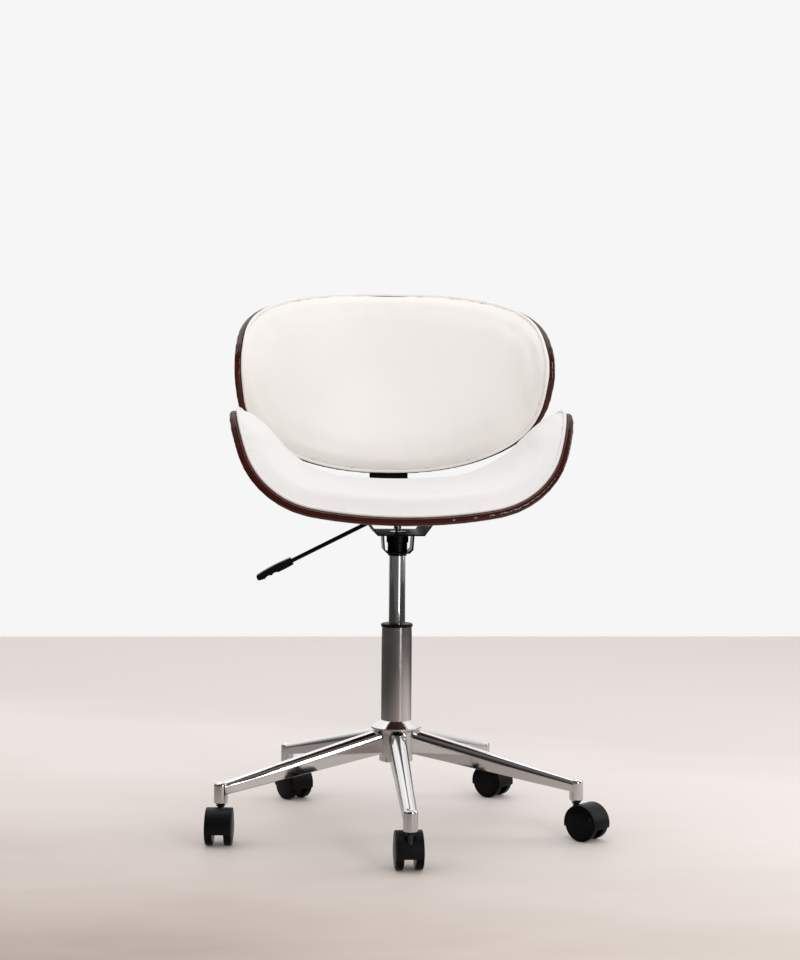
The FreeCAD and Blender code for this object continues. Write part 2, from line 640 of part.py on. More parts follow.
def wheel_shape():
    """One wheel, turned about +Y from its inner face at the origin to its bulging outer face."""
    bore = float(s.axle_radius + s.running_clearance)
    tread = float(s.wheel_radius)
    edge = float(s.wheel_edge)
    width = float(s.wheel_tread)
    groove = float(s.wheel_groove)
    ring = tread - float(s.wheel_groove_inset)
    crown = width + float(s.wheel_dome)
    turn = edge * (1 - cos(pi / 4))
    shoulder = width + edge / 2
    web_face = width / 2

    def point(x, y):
        return Vector(x, y, 0)

    def arc(first, middle, last):
        return Part.Arc(point(*first), point(*middle), point(*last)).toShape()

    def line(*points):
        return [Part.makeLine(point(*first), point(*last)) for first, last in zip(points, points[1:])]

    face_middle = (ring / 2, crown - (crown - shoulder - groove) / 4)
    pieces = [arc((tread - edge, 0), (tread - turn, turn), (tread, edge))]
    pieces += line((tread, edge), (tread, width - edge / 2))
    pieces += [arc((tread, width - edge / 2), (tread - turn, width + turn / 2), (tread - edge, shoulder))]
    pieces += line((tread - edge, shoulder), (ring + groove, shoulder), (ring, shoulder - groove),
                   (ring - groove, shoulder - groove), (ring - groove * 2, shoulder + groove / 2))
    pieces += [arc((ring - groove * 2, shoulder + groove / 2), face_middle, (bore, crown))]
    pieces += line((bore, crown), (0, crown), (0, web_face), (bore, web_face), (bore, 0), (tread - edge, 0))
    return Part.Face(Part.Wire(pieces)).revolve(Vector(0, 0, 0), Vector(0, 1, 0), 360)


one_wheel = wheel_shape()
axle_half = s.wheel_gap / 2 + s.wheel_tread / 2 - s.cover_clearance
axle_shape = cross_cylinder(s.axle_radius, axle_half)
for name in ARM_BEARINGS:
    turn = Rotation(Vector(0, 0, 1), CASTER_HEADINGS[name])
    place = Placement(caster_place(name), turn)
    keep(feature("caster_hood_" + name, hood_shape, place))
    keep(feature("caster_axle_" + name, axle_shape, place))
    for side, word in ((1, "left"), (-1, "right")):
        wheel = one_wheel.copy()
        if side < 0:
            wheel = wheel.mirror(Vector(0, 0, 0), Vector(0, 1, 0))
        wheel.translate(Vector(trail, side * float(s.wheel_gap) / 2, float(axle_height)))
        keep(feature("caster_wheel_" + name + "_" + word, wheel, place))

# Seat plate: a pressed steel dish, open front and back, whose sloping flanges fit the shell's gentle bend.
def arc_rise(radius, half):
    """How far a circle rises at half a chord from its lowest point."""
    squares = radius.formula + "*" + radius.formula + "-" + half.formula + "*" + half.formula
    number = float(radius) - sqrt(float(radius) ** 2 - float(half) ** 2)
    return Length(number, "(" + radius.formula + "-sqrt(" + squares + "))")


back_middle_bend = s.seat_front_middle_radius * s.seat_back_middle_half / s.seat_front_middle_half
bend_change = (back_middle_bend - s.seat_front_middle_radius) / (s.seat_front + s.seat_back)
bend_at_plate = s.seat_front_middle_radius + bend_change * (s.seat_front - s.plate_half_length)
flange_high = s.seat_low + arc_rise(bend_at_plate, s.plate_flange_half_width) - s.flange_gap
flange_low = flange_high - s.plate_sheet
tip_high = s.seat_low + arc_rise(bend_at_plate, s.plate_half_width) - s.flange_gap
tip_low = tip_high - s.plate_sheet
inner_flange = s.plate_flange_half_width - s.plate_sheet / 2
inner_dish = s.plate_dish_half_width - s.plate_sheet / 2
plate_corners = [
    (s.plate_half_width, tip_low),
    (s.plate_half_width, tip_high),
    (inner_flange, flange_high),
    (inner_dish, bush_high),
    (-inner_dish, bush_high),
    (-inner_flange, flange_high),
    (-s.plate_half_width, tip_high),
    (-s.plate_half_width, tip_low),
    (-s.plate_flange_half_width, flange_low),
    (-s.plate_dish_half_width, dish_low),
    (s.plate_dish_half_width, dish_low),
    (s.plate_flange_half_width, flange_low),
]
plate_pressed = extruded("plate_pressed", "XZ_Plane", plate_corners, s.plate_half_length * 2)
bush_hole = cylinder("plate_bush_hole", s.bush_head_radius, bush_step, s.seat_low)
window = box("lever_window",
             (-s.plate_flange_half_width - s.overrun, -s.lever_window, lever_height - s.lever_window * 2),
             (-inner_dish, s.lever_window, flange_low - s.overrun / 4))

# Hanging strap: a bent steel strap under the dish that steadies the foot of the taper bush.
strap_inner = s.strap_half_width - s.plate_sheet
strap_foot_inner = s.strap_foot_half_width - s.plate_sheet
strap_floor = strap_low + s.plate_sheet
strap_turn = s.strap_bend - s.plate_sheet / 2
strap_corners = [
    (-s.strap_half_width, dish_low),
    (-s.strap_foot_half_width, strap_low + s.strap_bend),
    (-s.strap_foot_half_width + s.strap_bend, strap_low),
    (s.strap_foot_half_width - s.strap_bend, strap_low),
    (s.strap_foot_half_width, strap_low + s.strap_bend),
    (s.strap_half_width, dish_low),
    (strap_inner, dish_low),
    (strap_foot_inner, strap_floor + strap_turn),
    (strap_foot_inner - strap_turn, strap_floor),
    (-strap_foot_inner + strap_turn, strap_floor),
    (-strap_foot_inner, strap_floor + strap_turn),
    (-strap_inner, dish_low),
]
strap_bent = extruded("strap_bent", "XZ_Plane", strap_corners, s.strap_half_length * 2)
keep(cut("plate_strap", strap_bent, cylinder("strap_hole", s.bush_body_radius, bush_low, strap_floor)))

# Taper bush: a turned steel socket that grips the gas cylinder's taper.
foot_bore = s.gas_radius - s.taper_drop * (bush_low - taper_low) / s.taper_length
head_bore = s.gas_radius - s.taper_drop * (bush_high - taper_low) / s.taper_length
keep(turned("taper_bush", [
    (foot_bore, bush_low),
    (s.bush_foot_radius, bush_low),
    (s.bush_foot_radius, strap_low),
    (s.bush_body_radius, strap_low),
    (s.bush_body_radius, bush_step),
    (s.bush_head_radius, bush_step + s.collar_edge),
    (s.bush_head_radius, bush_high),
    (head_bore, bush_high),
]))

# Release lever: a bent steel rod that lies across the valve pin and leaves through the plate's side.
start = Vector(float(s.lever_inner_end), 0, float(lever_height))
bend_point = Vector(-float(s.lever_pivot), 0, float(lever_height))
end = Vector(-float(s.lever_reach), 0, float(lever_height - s.lever_drop))
inward = (start - bend_point).normalize()
outward = (end - bend_point).normalize()
half_turn = inward.getAngle(outward) / 2
setback = float(s.lever_bend) / tan(half_turn)
arc_start = bend_point + inward * setback
arc_end = bend_point + outward * setback
middle = (inward + outward).normalize()
arc_middle = bend_point + middle * (float(s.lever_bend) / sin(half_turn) - float(s.lever_bend))
path = Part.Wire([
    Part.makeLine(start, arc_start),
    Part.Arc(arc_start, arc_middle, arc_end).toShape(),
    Part.makeLine(arc_end, end),
])
section = Part.Wire([Part.makeCircle(float(s.lever_radius), start, inward)])
lever_shape = path.makePipeShell([section], True, False)
keep(feature("lever_rod", lever_shape))

# Paddle: a moulded grip on the rod's end with two finger grooves under its tip.
grip_start = end - outward * float(s.grip_overlap)
grip_low = -float(s.grip_half_height)
grip_end = float(s.grip_length)
groove = float(s.grip_groove_depth)
pitch = float(s.grip_groove_pitch)
neck = float(s.lever_radius + s.grip_groove_depth)
grip_points = {
    "neck_low": Vector(0, 0, -neck),
    "belly": Vector(pitch, 0, grip_low),
    "groove_1": Vector(grip_end - 3 * pitch, 0, grip_low),
    "ridge": Vector(grip_end - 2 * pitch, 0, grip_low),
    "groove_2": Vector(grip_end - pitch, 0, grip_low),
    "tip_low": Vector(grip_end, 0, grip_low + groove),
    "tip_high": Vector(grip_end, 0, -grip_low - groove),
    "back": Vector(pitch, 0, -grip_low),
    "neck_high": Vector(0, 0, neck),
}


def groove_arc(first, second):
    middle = (grip_points[first] + grip_points[second]) / 2 + Vector(0, 0, groove)
    return Part.Arc(grip_points[first], middle, grip_points[second]).toShape()


def grip_line(first, second):
    return Part.makeLine(grip_points[first], grip_points[second])


grip_top_middle = (grip_points["tip_high"] + grip_points["back"]) / 2 + Vector(0, 0, groove / 2)
grip_wire = Part.Wire([
    grip_line("neck_low", "belly"),
    grip_line("belly", "groove_1"),
    groove_arc("groove_1", "ridge"),
    groove_arc("ridge", "groove_2"),
    grip_line("groove_2", "tip_low"),
    grip_line("tip_low", "tip_high"),
    Part.Arc(grip_points["tip_high"], grip_top_middle, grip_points["back"]).toShape(),
    grip_line("back", "neck_high"),
    grip_line("neck_high", "neck_low"),
])
grip_body = Part.Face(grip_wire).extrude(Vector(0, 2 * float(s.grip_half_width), 0))
grip_body.translate(Vector(0, -float(s.grip_half_width), 0))
grip_end_edges = [edge for edge in grip_body.Edges
                  if abs(edge.tangentAt(edge.FirstParameter).y) > cos(pi / 6)
                  and edge.CenterOfMass.x > grip_end - float(s.overrun)]
grip_body = grip_body.makeFillet(float(s.grip_round), grip_end_edges)
grip_body.rotate(Vector(0, 0, 0), Vector(0, 0, 1), 180)
grip_body.rotate(Vector(0, 0, 0), Vector(0, 1, 0), -asin(-outward.z) * 180 / pi)
grip_body.translate(grip_start)
keep(feature("lever_grip", grip_body.cut(lever_shape)))


# Plywood shells and pads are drawn from stations along the bent blank. A station has a foot on the
# blank's outer face, the direction of the straight line that the sheet keeps there, the sheet's normal
# towards the sitter, and the two ends of the blank along that line.
def bend_at(run, middle_radius, middle_turn, side_radius, side_turn):
    """Heading and straight stretch at a distance along half of a bent blank: middle, side bend, flat wing."""
    middle_run = middle_radius * middle_turn
    side_run = side_radius * (side_turn - middle_turn)
    if run <= middle_run:
        return run / middle_radius, 0
    if run <= middle_run + side_run:
        return middle_turn + (run - middle_run) / side_radius, 0
    return side_turn, run - middle_run - side_run


def bend_point_at(heading, straight, middle_radius, middle_turn, side_radius):
    """Distance out from the middle and rise of the bent blank at a heading."""
    if heading <= middle_turn:
        return middle_radius * sin(heading), middle_radius * (1 - cos(heading))
    out = middle_radius * sin(middle_turn) + side_radius * (sin(heading) - sin(middle_turn))
    rise = middle_radius * (1 - cos(middle_turn)) + side_radius * (cos(middle_turn) - cos(heading))
    return out + straight * cos(heading), rise + straight * sin(heading)


def rim(share, shares):
    """How much of its middle reach a blank keeps at a share of its half width; apex rounds the middle."""
    power, root, apex = shares
    fall = (share ** 2 + apex ** 2) ** (power / 2) - apex ** power
    whole_fall = (1 + apex ** 2) ** (power / 2) - apex ** power
    return max(0, 1 - fall / whole_fall) ** root


class Station:
    """One straight line across the bent sheet, between two rims."""

    def __init__(self, foot, along, normal, first, last):
        self.foot = foot
        self.along = along
        self.normal = normal
        self.first = first
        self.last = last

    def at(self, along, out):
        return self.foot + self.along * along + self.normal * out


def station_shares():
    """Shares of the half width, closer together towards the tips."""
    found = []
    for step in range(-STATIONS, STATIONS + 1):
        even = step / STATIONS
        crowded = sin(even * pi / 2)
        found.append(LAST_STATION_SHARE * (even + TIP_CROWDING_SHARE * (crowded - even)))
    return found


def seat_station(share):
    run = abs(share) * float(s.seat_half_run)
    side = -1 if share < 0 else 1
    front_radius = float(s.seat_front_middle_radius)
    turn = asin(float(s.seat_front_middle_half) / front_radius)
    back_radius = float(s.seat_back_middle_half) / sin(turn)
    heading, straight = bend_at(run, front_radius, turn, float(s.seat_front_side_radius), SEAT_WING_LEAN)
    x, rise = bend_point_at(heading, straight, front_radius, turn, float(s.seat_front_side_radius))
    front = Vector(side * x, -float(s.seat_front), float(s.seat_low) + rise)
    x, rise = bend_point_at(heading, straight, back_radius, turn, float(s.seat_back_side_radius))
    back = Vector(side * x, float(s.seat_back), float(s.seat_low) + rise)
    along = (back - front).normalize()
    across = Vector(cos(heading), 0, side * sin(heading))
    normal = across.cross(along).normalize()
    tip = -float(s.seat_tip_y)
    first = tip - float(s.seat_front - s.seat_tip_y) * rim(share, SEAT_FRONT_RIM_SHARES)
    last = tip + float(s.seat_back + s.seat_tip_y) * rim(share, SEAT_REAR_RIM_SHARES)
    start = float(-s.seat_front)
    return Station(front, along, normal, (first - start) / along.y, (last - start) / along.y)


def back_station(share):
    run = abs(share) * float(s.back_half_run)
    side = -1 if share < 0 else 1
    radius = float(s.back_middle_radius)
    turn = asin(float(s.back_middle_half) / radius)
    heading, straight = bend_at(run, radius, turn, float(s.back_side_radius), BACK_WING_TURN)
    x, depth = bend_point_at(heading, straight, radius, turn, float(s.back_side_radius))
    foot = Vector(side * x, float(back_rear) - depth, float(back_low))
    along = Vector(0, sin(BACK_RECLINE), cos(BACK_RECLINE))
    across = Vector(cos(heading), -side * sin(heading), 0)
    normal = across.cross(along).normalize()
    nose = float(s.back_nose_rise)
    low = nose - nose * rim(share, BACK_LOW_RIM_SHARES)
    high = nose + float(s.back_height - s.back_nose_rise) * rim(share, BACK_TOP_RIM_SHARES)
    return Station(foot, along, normal, low / along.z, high / along.z)


def wood_wire(station):
    """Section of a shell along a station: two faces and two rounded edges."""
    thick = float(s.wood)
    edge = float(s.wood_edge)
    first, last = station.first, station.last
    corners = [station.at(first + edge, 0), station.at(last - edge, 0),
               station.at(last - edge, thick), station.at(first + edge, thick)]
    return Part.Wire([
        Part.makeLine(corners[0], corners[1]),
        Part.Arc(corners[1], station.at(last, thick / 2), corners[2]).toShape(),
        Part.makeLine(corners[2], corners[3]),
        Part.Arc(corners[3], station.at(first, thick / 2), corners[0]).toShape(),
    ])


def pad_wire(station, margin, crown, full_half, full_roll):
    """Section of a pad along a station: flat on the wood, drawn in there, rolled borders, crowned face."""
    foot = float(s.wood + s.cover_clearance)
    first = station.first + margin
    last = station.last - margin
    half = (last - first) / 2
    high = crown * (half / full_half) ** CROWN_FADE_SHARE
    roll = min(full_roll, half * PAD_ROLL_LIMIT_SHARE)
    draw = min(float(s.pad_draw), half * PAD_DRAW_LIMIT_SHARE)
    side = foot + high * PAD_SIDE_SHARE
    shoulder = foot + high * PAD_SHOULDER_SHARE
    points = [station.at(first + draw, foot), station.at(first, side), station.at(first + roll, shoulder),
              station.at(first + half, foot + high), station.at(last - roll, shoulder), station.at(last, side),
              station.at(last - draw, foot)]
    return Part.Wire([
        Part.Arc(points[0], points[1], points[2]).toShape(),
        Part.Arc(points[2], points[3], points[4]).toShape(),
        Part.Arc(points[4], points[5], points[6]).toShape(),
        Part.makeLine(points[6], points[0]),
    ])


def sheet_loft(stations, wire, *values):
    return Part.makeLoft([wire(station, *values) for station in stations], True, True)


seat_stations = [seat_station(share) for share in station_shares()]
back_stations = [back_station(share) for share in station_shares()]
back_middle = back_station(0)


def pad_values(middle, margin, height, roll):
    return float(margin), float(height), (middle.last - middle.first) / 2 - float(margin), float(roll)


seat_blank = feature("seat_blank", sheet_loft(seat_stations, wood_wire))
back_blank = feature("back_blank", sheet_loft(back_stations, wood_wire))
seat_values = pad_values(seat_station(0), s.seat_pad_margin, s.seat_pad_height, s.seat_pad_roll)
back_values = pad_values(back_middle, s.back_pad_margin, s.back_pad_height, s.back_pad_roll)
keep(feature("seat_pad", sheet_loft(seat_stations, pad_wire, *seat_values)))
keep(feature("back_pad", sheet_loft(back_stations, pad_wire, *back_values)))


# Screws and tee nuts: a screw comes from the steel side, and its nut's flange lies flush in the padded face.
class Screw:
    """Where a screw enters: a point on the steel's outer face, the way in, and the depth where the wood starts."""

    def __init__(self, point, inward, steel):
        self.point = point
        self.inward = inward
        self.steel = steel

    def rod(self, radius, start, length):
        foot = self.point + self.inward * float(start)
        return Part.makeCylinder(float(radius), float(length), foot, self.inward)


def screw_shape(screw):
    head = float(s.bolt_head_height)
    foot = screw.point - screw.inward * head
    made = screw.rod(s.bolt_head_radius, -head, head)
    rim_edges = [edge for edge in made.Edges if len(edge.Vertexes) == 1
                 and (edge.CenterOfMass - foot).Length < head / 2]
    made = made.makeFillet(head / 3, rim_edges)
    shank = screw.rod(s.bolt_radius, 0, screw.steel + nut_top)
    corners = [foot + key_corner(screw.inward, number) for number in range(7)]
    recess = Part.Face(Part.makePolygon(corners)).extrude(screw.inward * float(s.bolt_key_depth))
    return made.fuse(shank).removeSplitter().cut(recess)


def key_corner(axis, number):
    """A corner of the hexagon key of a screw."""
    forward = Vector(0, 1, 0)
    across = axis.cross(forward).normalize()
    angle = number * pi / 3
    return (across * cos(angle) + axis.cross(across) * sin(angle)) * float(s.bolt_key_radius)


def nut_body(screw):
    """Barrel and flange of a tee nut, without its thread."""
    barrel_start = screw.steel + float(s.nut_setback)
    flange_start = screw.steel + nut_top - float(s.nut_flange_height)
    barrel = screw.rod(s.nut_radius, barrel_start, flange_start - barrel_start)
    return barrel.fuse(screw.rod(s.nut_flange_radius, flange_start, s.nut_flange_height)).removeSplitter()


def nut_shape(screw):
    return nut_body(screw).cut(screw.rod(s.bolt_radius, 0, screw.steel + float(s.wood)))


def screw_hole(screw):
    """What the wood loses for a screw and its tee nut."""
    through = screw.rod(s.bolt_radius, 0, screw.steel + float(s.wood))
    above_flange = screw.rod(s.nut_flange_radius, screw.steel + nut_top, s.overrun * 2)
    return nut_body(screw).fuse([through, above_flange])


def seat_face_at(x, y):
    """Point of the seat shell's underside over a place on the floor, and the sheet's normal there."""
    low, high = 0, LAST_STATION_SHARE
    for _ in range(STATIONS):
        share = (low + high) / 2
        station = seat_station(share)
        found = station.at((y - station.foot.y) / station.along.y, 0)
        low, high = (share, high) if found.x < abs(x) else (low, share)
    side = -1 if x < 0 else 1
    normal = station.normal
    return Vector(side * found.x, y, found.z), Vector(side * normal.x, normal.y, normal.z)


nut_top = float(s.wood - s.nut_sink)
flange_slope = float((tip_high - flange_high) / (s.plate_half_width - s.plate_flange_half_width))


def plate_screw(x, y):
    """A screw square to the shell through the plate's sloping flange, its head just clear of the flange."""
    face, normal = seat_face_at(x, y)
    out = abs(face.x) - float(s.plate_flange_half_width)
    depth = (face.z - float(flange_low) - flange_slope * out) / (normal.z + flange_slope * abs(normal.x))
    depth += float(s.cover_clearance)
    return Screw(face - normal * depth, normal, depth)


def bracket_screw(x, y):
    """An upright screw through the bracket's flat leg."""
    face, _ = seat_face_at(x, y)
    low = float(s.seat_low - s.bracket_steel)
    return Screw(Vector(x, y, low), Vector(0, 0, 1), face.z - low)


plate_x, plate_y = float(s.plate_bolt_x), float(s.plate_bolt_y)
bracket_x = float(s.bracket_bolt_x)
first_bolt = float(bracket_front + s.bracket_bolt_inset)
plate_screws = [plate_screw(x, y) for x in (-plate_x, plate_x) for y in (-plate_y, plate_y)]
bracket_screws = [bracket_screw(x, y) for x in (-bracket_x, bracket_x)
                  for y in (first_bolt, first_bolt + float(s.bracket_bolt_pitch))]
plate_shanks = [screw.rod(s.bolt_radius, 0, screw.steel) for screw in plate_screws]
plate_holes = feature("plate_holes", Part.makeCompound(plate_shanks))
keep(cut("seat_plate", plate_pressed, bush_hole, window, plate_holes))

# Bracket: one flat steel bar, bolted under the seat, bent up behind it and bolted to the back's rear face.
# Its curved seat on the back follows the shell across its width.
rear_normal = back_middle.normal
leg_up = back_middle.along
steel = float(s.bracket_steel)
half = float(s.bracket_half_width)
leg_foot = back_middle.at(0, 0)
leg_front_at_seat = leg_foot + leg_up * ((float(s.seat_low) - leg_foot.z) / leg_up.z)
corner = Vector(0, leg_front_at_seat.y, float(s.seat_low))
turn_half = (pi / 2 + BACK_RECLINE) / 2
bend_in = float(s.bracket_bend)
inner_reach = bend_in / tan(turn_half)
inner_start = corner - Vector(0, inner_reach, 0)
inner_end = corner + leg_up * inner_reach
bend_centre = inner_start + Vector(0, 0, bend_in)
outer_radius = bend_in + steel
away = (corner - bend_centre).normalize()
outer_start = inner_start - Vector(0, 0, steel)
outer_end = inner_end - rear_normal * steel
leg_top = leg_foot + leg_up * (float(s.bracket_reach) / leg_up.z)
leg_top_outer = leg_top - rear_normal * steel
front_end = Vector(0, float(bracket_front), float(s.seat_low))
front_end_low = front_end - Vector(0, 0, steel)
bracket_side = Part.Wire([
    Part.makeLine(front_end, inner_start),
    Part.Arc(inner_start, bend_centre + away * bend_in, inner_end).toShape(),
    Part.makeLine(inner_end, leg_top),
    Part.makeLine(leg_top, leg_top_outer),
    Part.makeLine(leg_top_outer, outer_end),
    Part.Arc(outer_end, bend_centre + away * outer_radius, outer_start).toShape(),
    Part.makeLine(outer_start, front_end_low),
    Part.makeLine(front_end_low, front_end),
])
bracket_shape = Part.Face(bracket_side).extrude(Vector(2 * half, 0, 0))
bracket_shape.translate(Vector(-half, 0, 0))
end_edges = [edge for edge in bracket_shape.Edges
             if edge.Length < steel + float(s.running_clearance)
             and edge.Length > steel - float(s.running_clearance)
             and (abs(edge.CenterOfMass.y - float(bracket_front)) < float(s.running_clearance)
                  or edge.CenterOfMass.z > leg_top.z - steel)]
bracket_shape = bracket_shape.makeFillet(float(s.bracket_corner), end_edges)
back_screws = []
for x in (-bracket_x, bracket_x):
    for rise in (float(s.back_bolt_rise), float(s.back_bolt_rise + s.bracket_bolt_pitch)):
        on_face = leg_foot + leg_up * (rise / leg_up.z) + Vector(x, 0, 0)
        back_screws.append(Screw(on_face - rear_normal * steel, rear_normal, steel))
all_holes = Part.makeCompound([screw_hole(screw) for screw in bracket_screws + back_screws])
keep(feature("back_bracket", bracket_shape.cut(all_holes)))

seat_holes = Part.makeCompound([screw_hole(screw) for screw in plate_screws + bracket_screws])
keep(cut("seat_shell", seat_blank, feature("seat_holes", seat_holes)))
keep(cut("back_shell", back_blank, feature("back_holes", Part.makeCompound([
    screw_hole(screw) for screw in back_screws]))))
for label, screws in (("plate", plate_screws), ("bracket", bracket_screws), ("back", back_screws)):
    keep(feature(label + "_screws", Part.makeCompound([screw_shape(screw) for screw in screws])))
    keep(feature(label + "_tee_nuts", Part.makeCompound([nut_shape(screw) for screw in screws])))

doc.recompute()
faults = [item.Label for item in doc.Objects if "Invalid" in item.State or "Error" in item.State]
faults += [item.Label for item in kept if item.Shape.isNull() or not item.Shape.isValid()]
if faults:
    raise SystemExit("these failed: " + ", ".join(faults))
os.makedirs("parts", exist_ok=True)
for item in kept:
    item.Shape.exportStep("parts/" + item.Label + ".step")
print(len(kept), "sub-parts written")
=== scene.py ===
from math import cos, pi, radians, sin

import bmesh
import bpy
from mathutils import Matrix, Vector
from mathutils.bvhtree import BVHTree


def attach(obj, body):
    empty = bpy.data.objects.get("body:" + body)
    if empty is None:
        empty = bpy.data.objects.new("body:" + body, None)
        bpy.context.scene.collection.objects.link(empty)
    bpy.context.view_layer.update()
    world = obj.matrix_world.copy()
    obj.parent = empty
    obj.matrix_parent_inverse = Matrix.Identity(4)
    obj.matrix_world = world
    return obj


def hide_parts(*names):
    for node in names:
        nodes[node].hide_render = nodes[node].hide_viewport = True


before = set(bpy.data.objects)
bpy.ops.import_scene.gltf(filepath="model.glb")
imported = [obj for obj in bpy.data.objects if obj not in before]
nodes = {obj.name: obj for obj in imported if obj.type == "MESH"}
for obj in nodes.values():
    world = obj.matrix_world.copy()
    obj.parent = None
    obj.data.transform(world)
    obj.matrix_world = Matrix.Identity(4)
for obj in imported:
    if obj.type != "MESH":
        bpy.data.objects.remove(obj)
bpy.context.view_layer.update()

# Camera: it stands level with the lower back, nearly three metres in front of the chair and a little to the
# sitter's right, and it is held with a slight roll.
PICTURE_WIDTH, PICTURE_HEIGHT = 800, 960
AIM_X, AIM_Y = 398.3, 430.4
FOCAL_PIXELS = 1710
CAMERA_DISTANCE = 2.83
CAMERA_HEIGHT = 0.655
CAMERA_ROLL = radians(0.43)
camera_data = bpy.data.cameras.new("camera")
camera_data.sensor_fit = "VERTICAL"
camera_data.sensor_height = 36
camera_data.lens = camera_data.sensor_height * FOCAL_PIXELS / PICTURE_HEIGHT
camera_data.shift_x = (PICTURE_WIDTH / 2 - AIM_X) / PICTURE_HEIGHT
camera_data.shift_y = (AIM_Y - PICTURE_HEIGHT / 2) / PICTURE_HEIGHT
camera = bpy.data.objects.new("camera", camera_data)
camera_turn = radians(4.3)
camera_place = Vector((-CAMERA_DISTANCE * sin(camera_turn), -CAMERA_DISTANCE * cos(camera_turn), CAMERA_HEIGHT))
camera.matrix_world = (Matrix.Translation(camera_place) @ Matrix.Rotation(-camera_turn, 4, "Z")
                       @ Matrix.Rotation(pi / 2, 4, "X") @ Matrix.Rotation(CAMERA_ROLL, 4, "Z"))
bpy.context.scene.collection.objects.link(camera)
bpy.context.scene.camera = camera
bpy.context.scene.view_settings.view_transform = "Standard"

# Studio: a pale room whose backdrop is lit on its own. Polished metal sees a dark room round the camera and the
# pale backdrop only behind the chair, as in a real studio.
studio = bpy.data.worlds.new("studio")
bpy.context.scene.world = studio
studio.use_nodes = True
room = studio.node_tree
room.nodes.clear()


def wire(tree, kind, *sources, **settings):
    """A new node with its settings, and its first inputs taken from values or from other nodes' outputs."""
    made = tree.nodes.new(kind)
    for name, value in settings.items():
        setattr(made, name, value)
    for index, source in enumerate(sources):
        if isinstance(source, bpy.types.NodeSocket):
            tree.links.new(source, made.inputs[index])
        elif source is not None:
            made.inputs[index].default_value = source
    return made


def ramp(tree, factor, *stops):
    """A colour ramp: each stop is a place and a grey or a colour."""
    made = wire(tree, "ShaderNodeValToRGB", factor)
    marks = made.color_ramp.elements
    while len(marks) < len(stops):
        marks.new(0.5)
    for mark, (place, tone) in zip(marks, stops):
        mark.position = place
        mark.color = (*tone, 1) if isinstance(tone, tuple) else (tone, tone, tone, 1)
    return made.outputs["Color"]


ray = wire(room, "ShaderNodeLightPath")
towards = wire(room, "ShaderNodeSeparateXYZ", wire(room, "ShaderNodeTexCoord").outputs["Generated"])
away = wire(room, "ShaderNodeMath", towards.outputs["Y"], -1.0, operation="MULTIPLY")
bearing = wire(room, "ShaderNodeMath", towards.outputs["X"], away.outputs[0], operation="ARCTAN2")
around = wire(room, "ShaderNodeMapRange", bearing.outputs[0], -pi, pi, 0.0, 1.0)
level_tone = ramp(room, around.outputs[0], (0.0, 0.78), (0.09, 0.62), (0.14, 0.08), (0.48, 0.09), (0.52, 0.16),
                  (0.7, 0.15), (0.78, 0.22), (0.86, 0.28), (0.91, 0.66), (1.0, 0.78))
raised_tone = ramp(room, around.outputs[0], (0.0, 0.95), (0.1, 0.8), (0.18, 0.06), (0.46, 0.012), (0.54, 0.02),
                   (0.78, 0.05), (0.88, 0.6), (1.0, 0.95))
high_tone = ramp(room, around.outputs[0], (0.0, 1.0), (0.26, 0.85), (0.37, 0.1), (0.63, 0.12), (0.74, 0.85),
                 (1.0, 1.0))
seen_tone = level_tone
for tone, low, high in ((raised_tone, 0.03, 0.1), (high_tone, 0.4, 0.75)):
    height = wire(room, "ShaderNodeMapRange", towards.outputs["Z"], low, high, 0.0, 1.0)
    blend = wire(room, "ShaderNodeMix", height.outputs[0], data_type="RGBA")
    room.links.new(seen_tone, blend.inputs["A"])
    room.links.new(tone, blend.inputs["B"])
    seen_tone = blend.outputs["Result"]
from_left = wire(room, "ShaderNodeMapRange", towards.outputs["X"], -1.0, 1.0, 0.95, 0.77)
soft_fill = wire(room, "ShaderNodeBackground", (1, 0.99, 0.98, 1), from_left.outputs[0])
mirrored = wire(room, "ShaderNodeBackground", seen_tone, 1.12)
backdrop = wire(room, "ShaderNodeBackground", (0.922, 0.922, 0.922, 1), 1.0)
lit = wire(room, "ShaderNodeMixShader", ray.outputs["Is Glossy Ray"], soft_fill.outputs[0], mirrored.outputs[0])
plain = wire(room, "ShaderNodeMath", ray.outputs["Is Camera Ray"], ray.outputs["Is Transmission Ray"],
             operation="MAXIMUM")
whole = wire(room, "ShaderNodeMixShader", plain.outputs[0], lit.outputs[0], backdrop.outputs[0])
wire(room, "ShaderNodeOutputWorld", whole.outputs[0])


def soft_light(name, place, target, width, height, power):
    """A soft box that hangs at a place and faces a target."""
    panel = bpy.data.lights.new(name, "AREA")
    panel.shape = "RECTANGLE"
    panel.size = width
    panel.size_y = height
    panel.energy = power
    lamp = bpy.data.objects.new(name, panel)
    lamp.location = place
    lamp.rotation_euler = (Vector(target) - Vector(place)).to_track_quat("-Z", "Y").to_euler()
    bpy.context.scene.collection.objects.link(lamp)


soft_light("strip_light", (1.15, -2.3, 0.94), (0, 0, 0.9), 0.4, 1.68, 13)
soft_light("high_light", (1.36, -2.03, 1.58), (0.2, 0, 0.75), 0.2, 0.36, 1.8)
soft_light("top_light", (-0.2, 0.5, 2.8), (0, 0, 0.3), 2.0, 2.0, 8)
soft_light("side_light", (2.3, 0.3, 1.1), (0, 0, 0.6), 0.5, 1.6, 8)


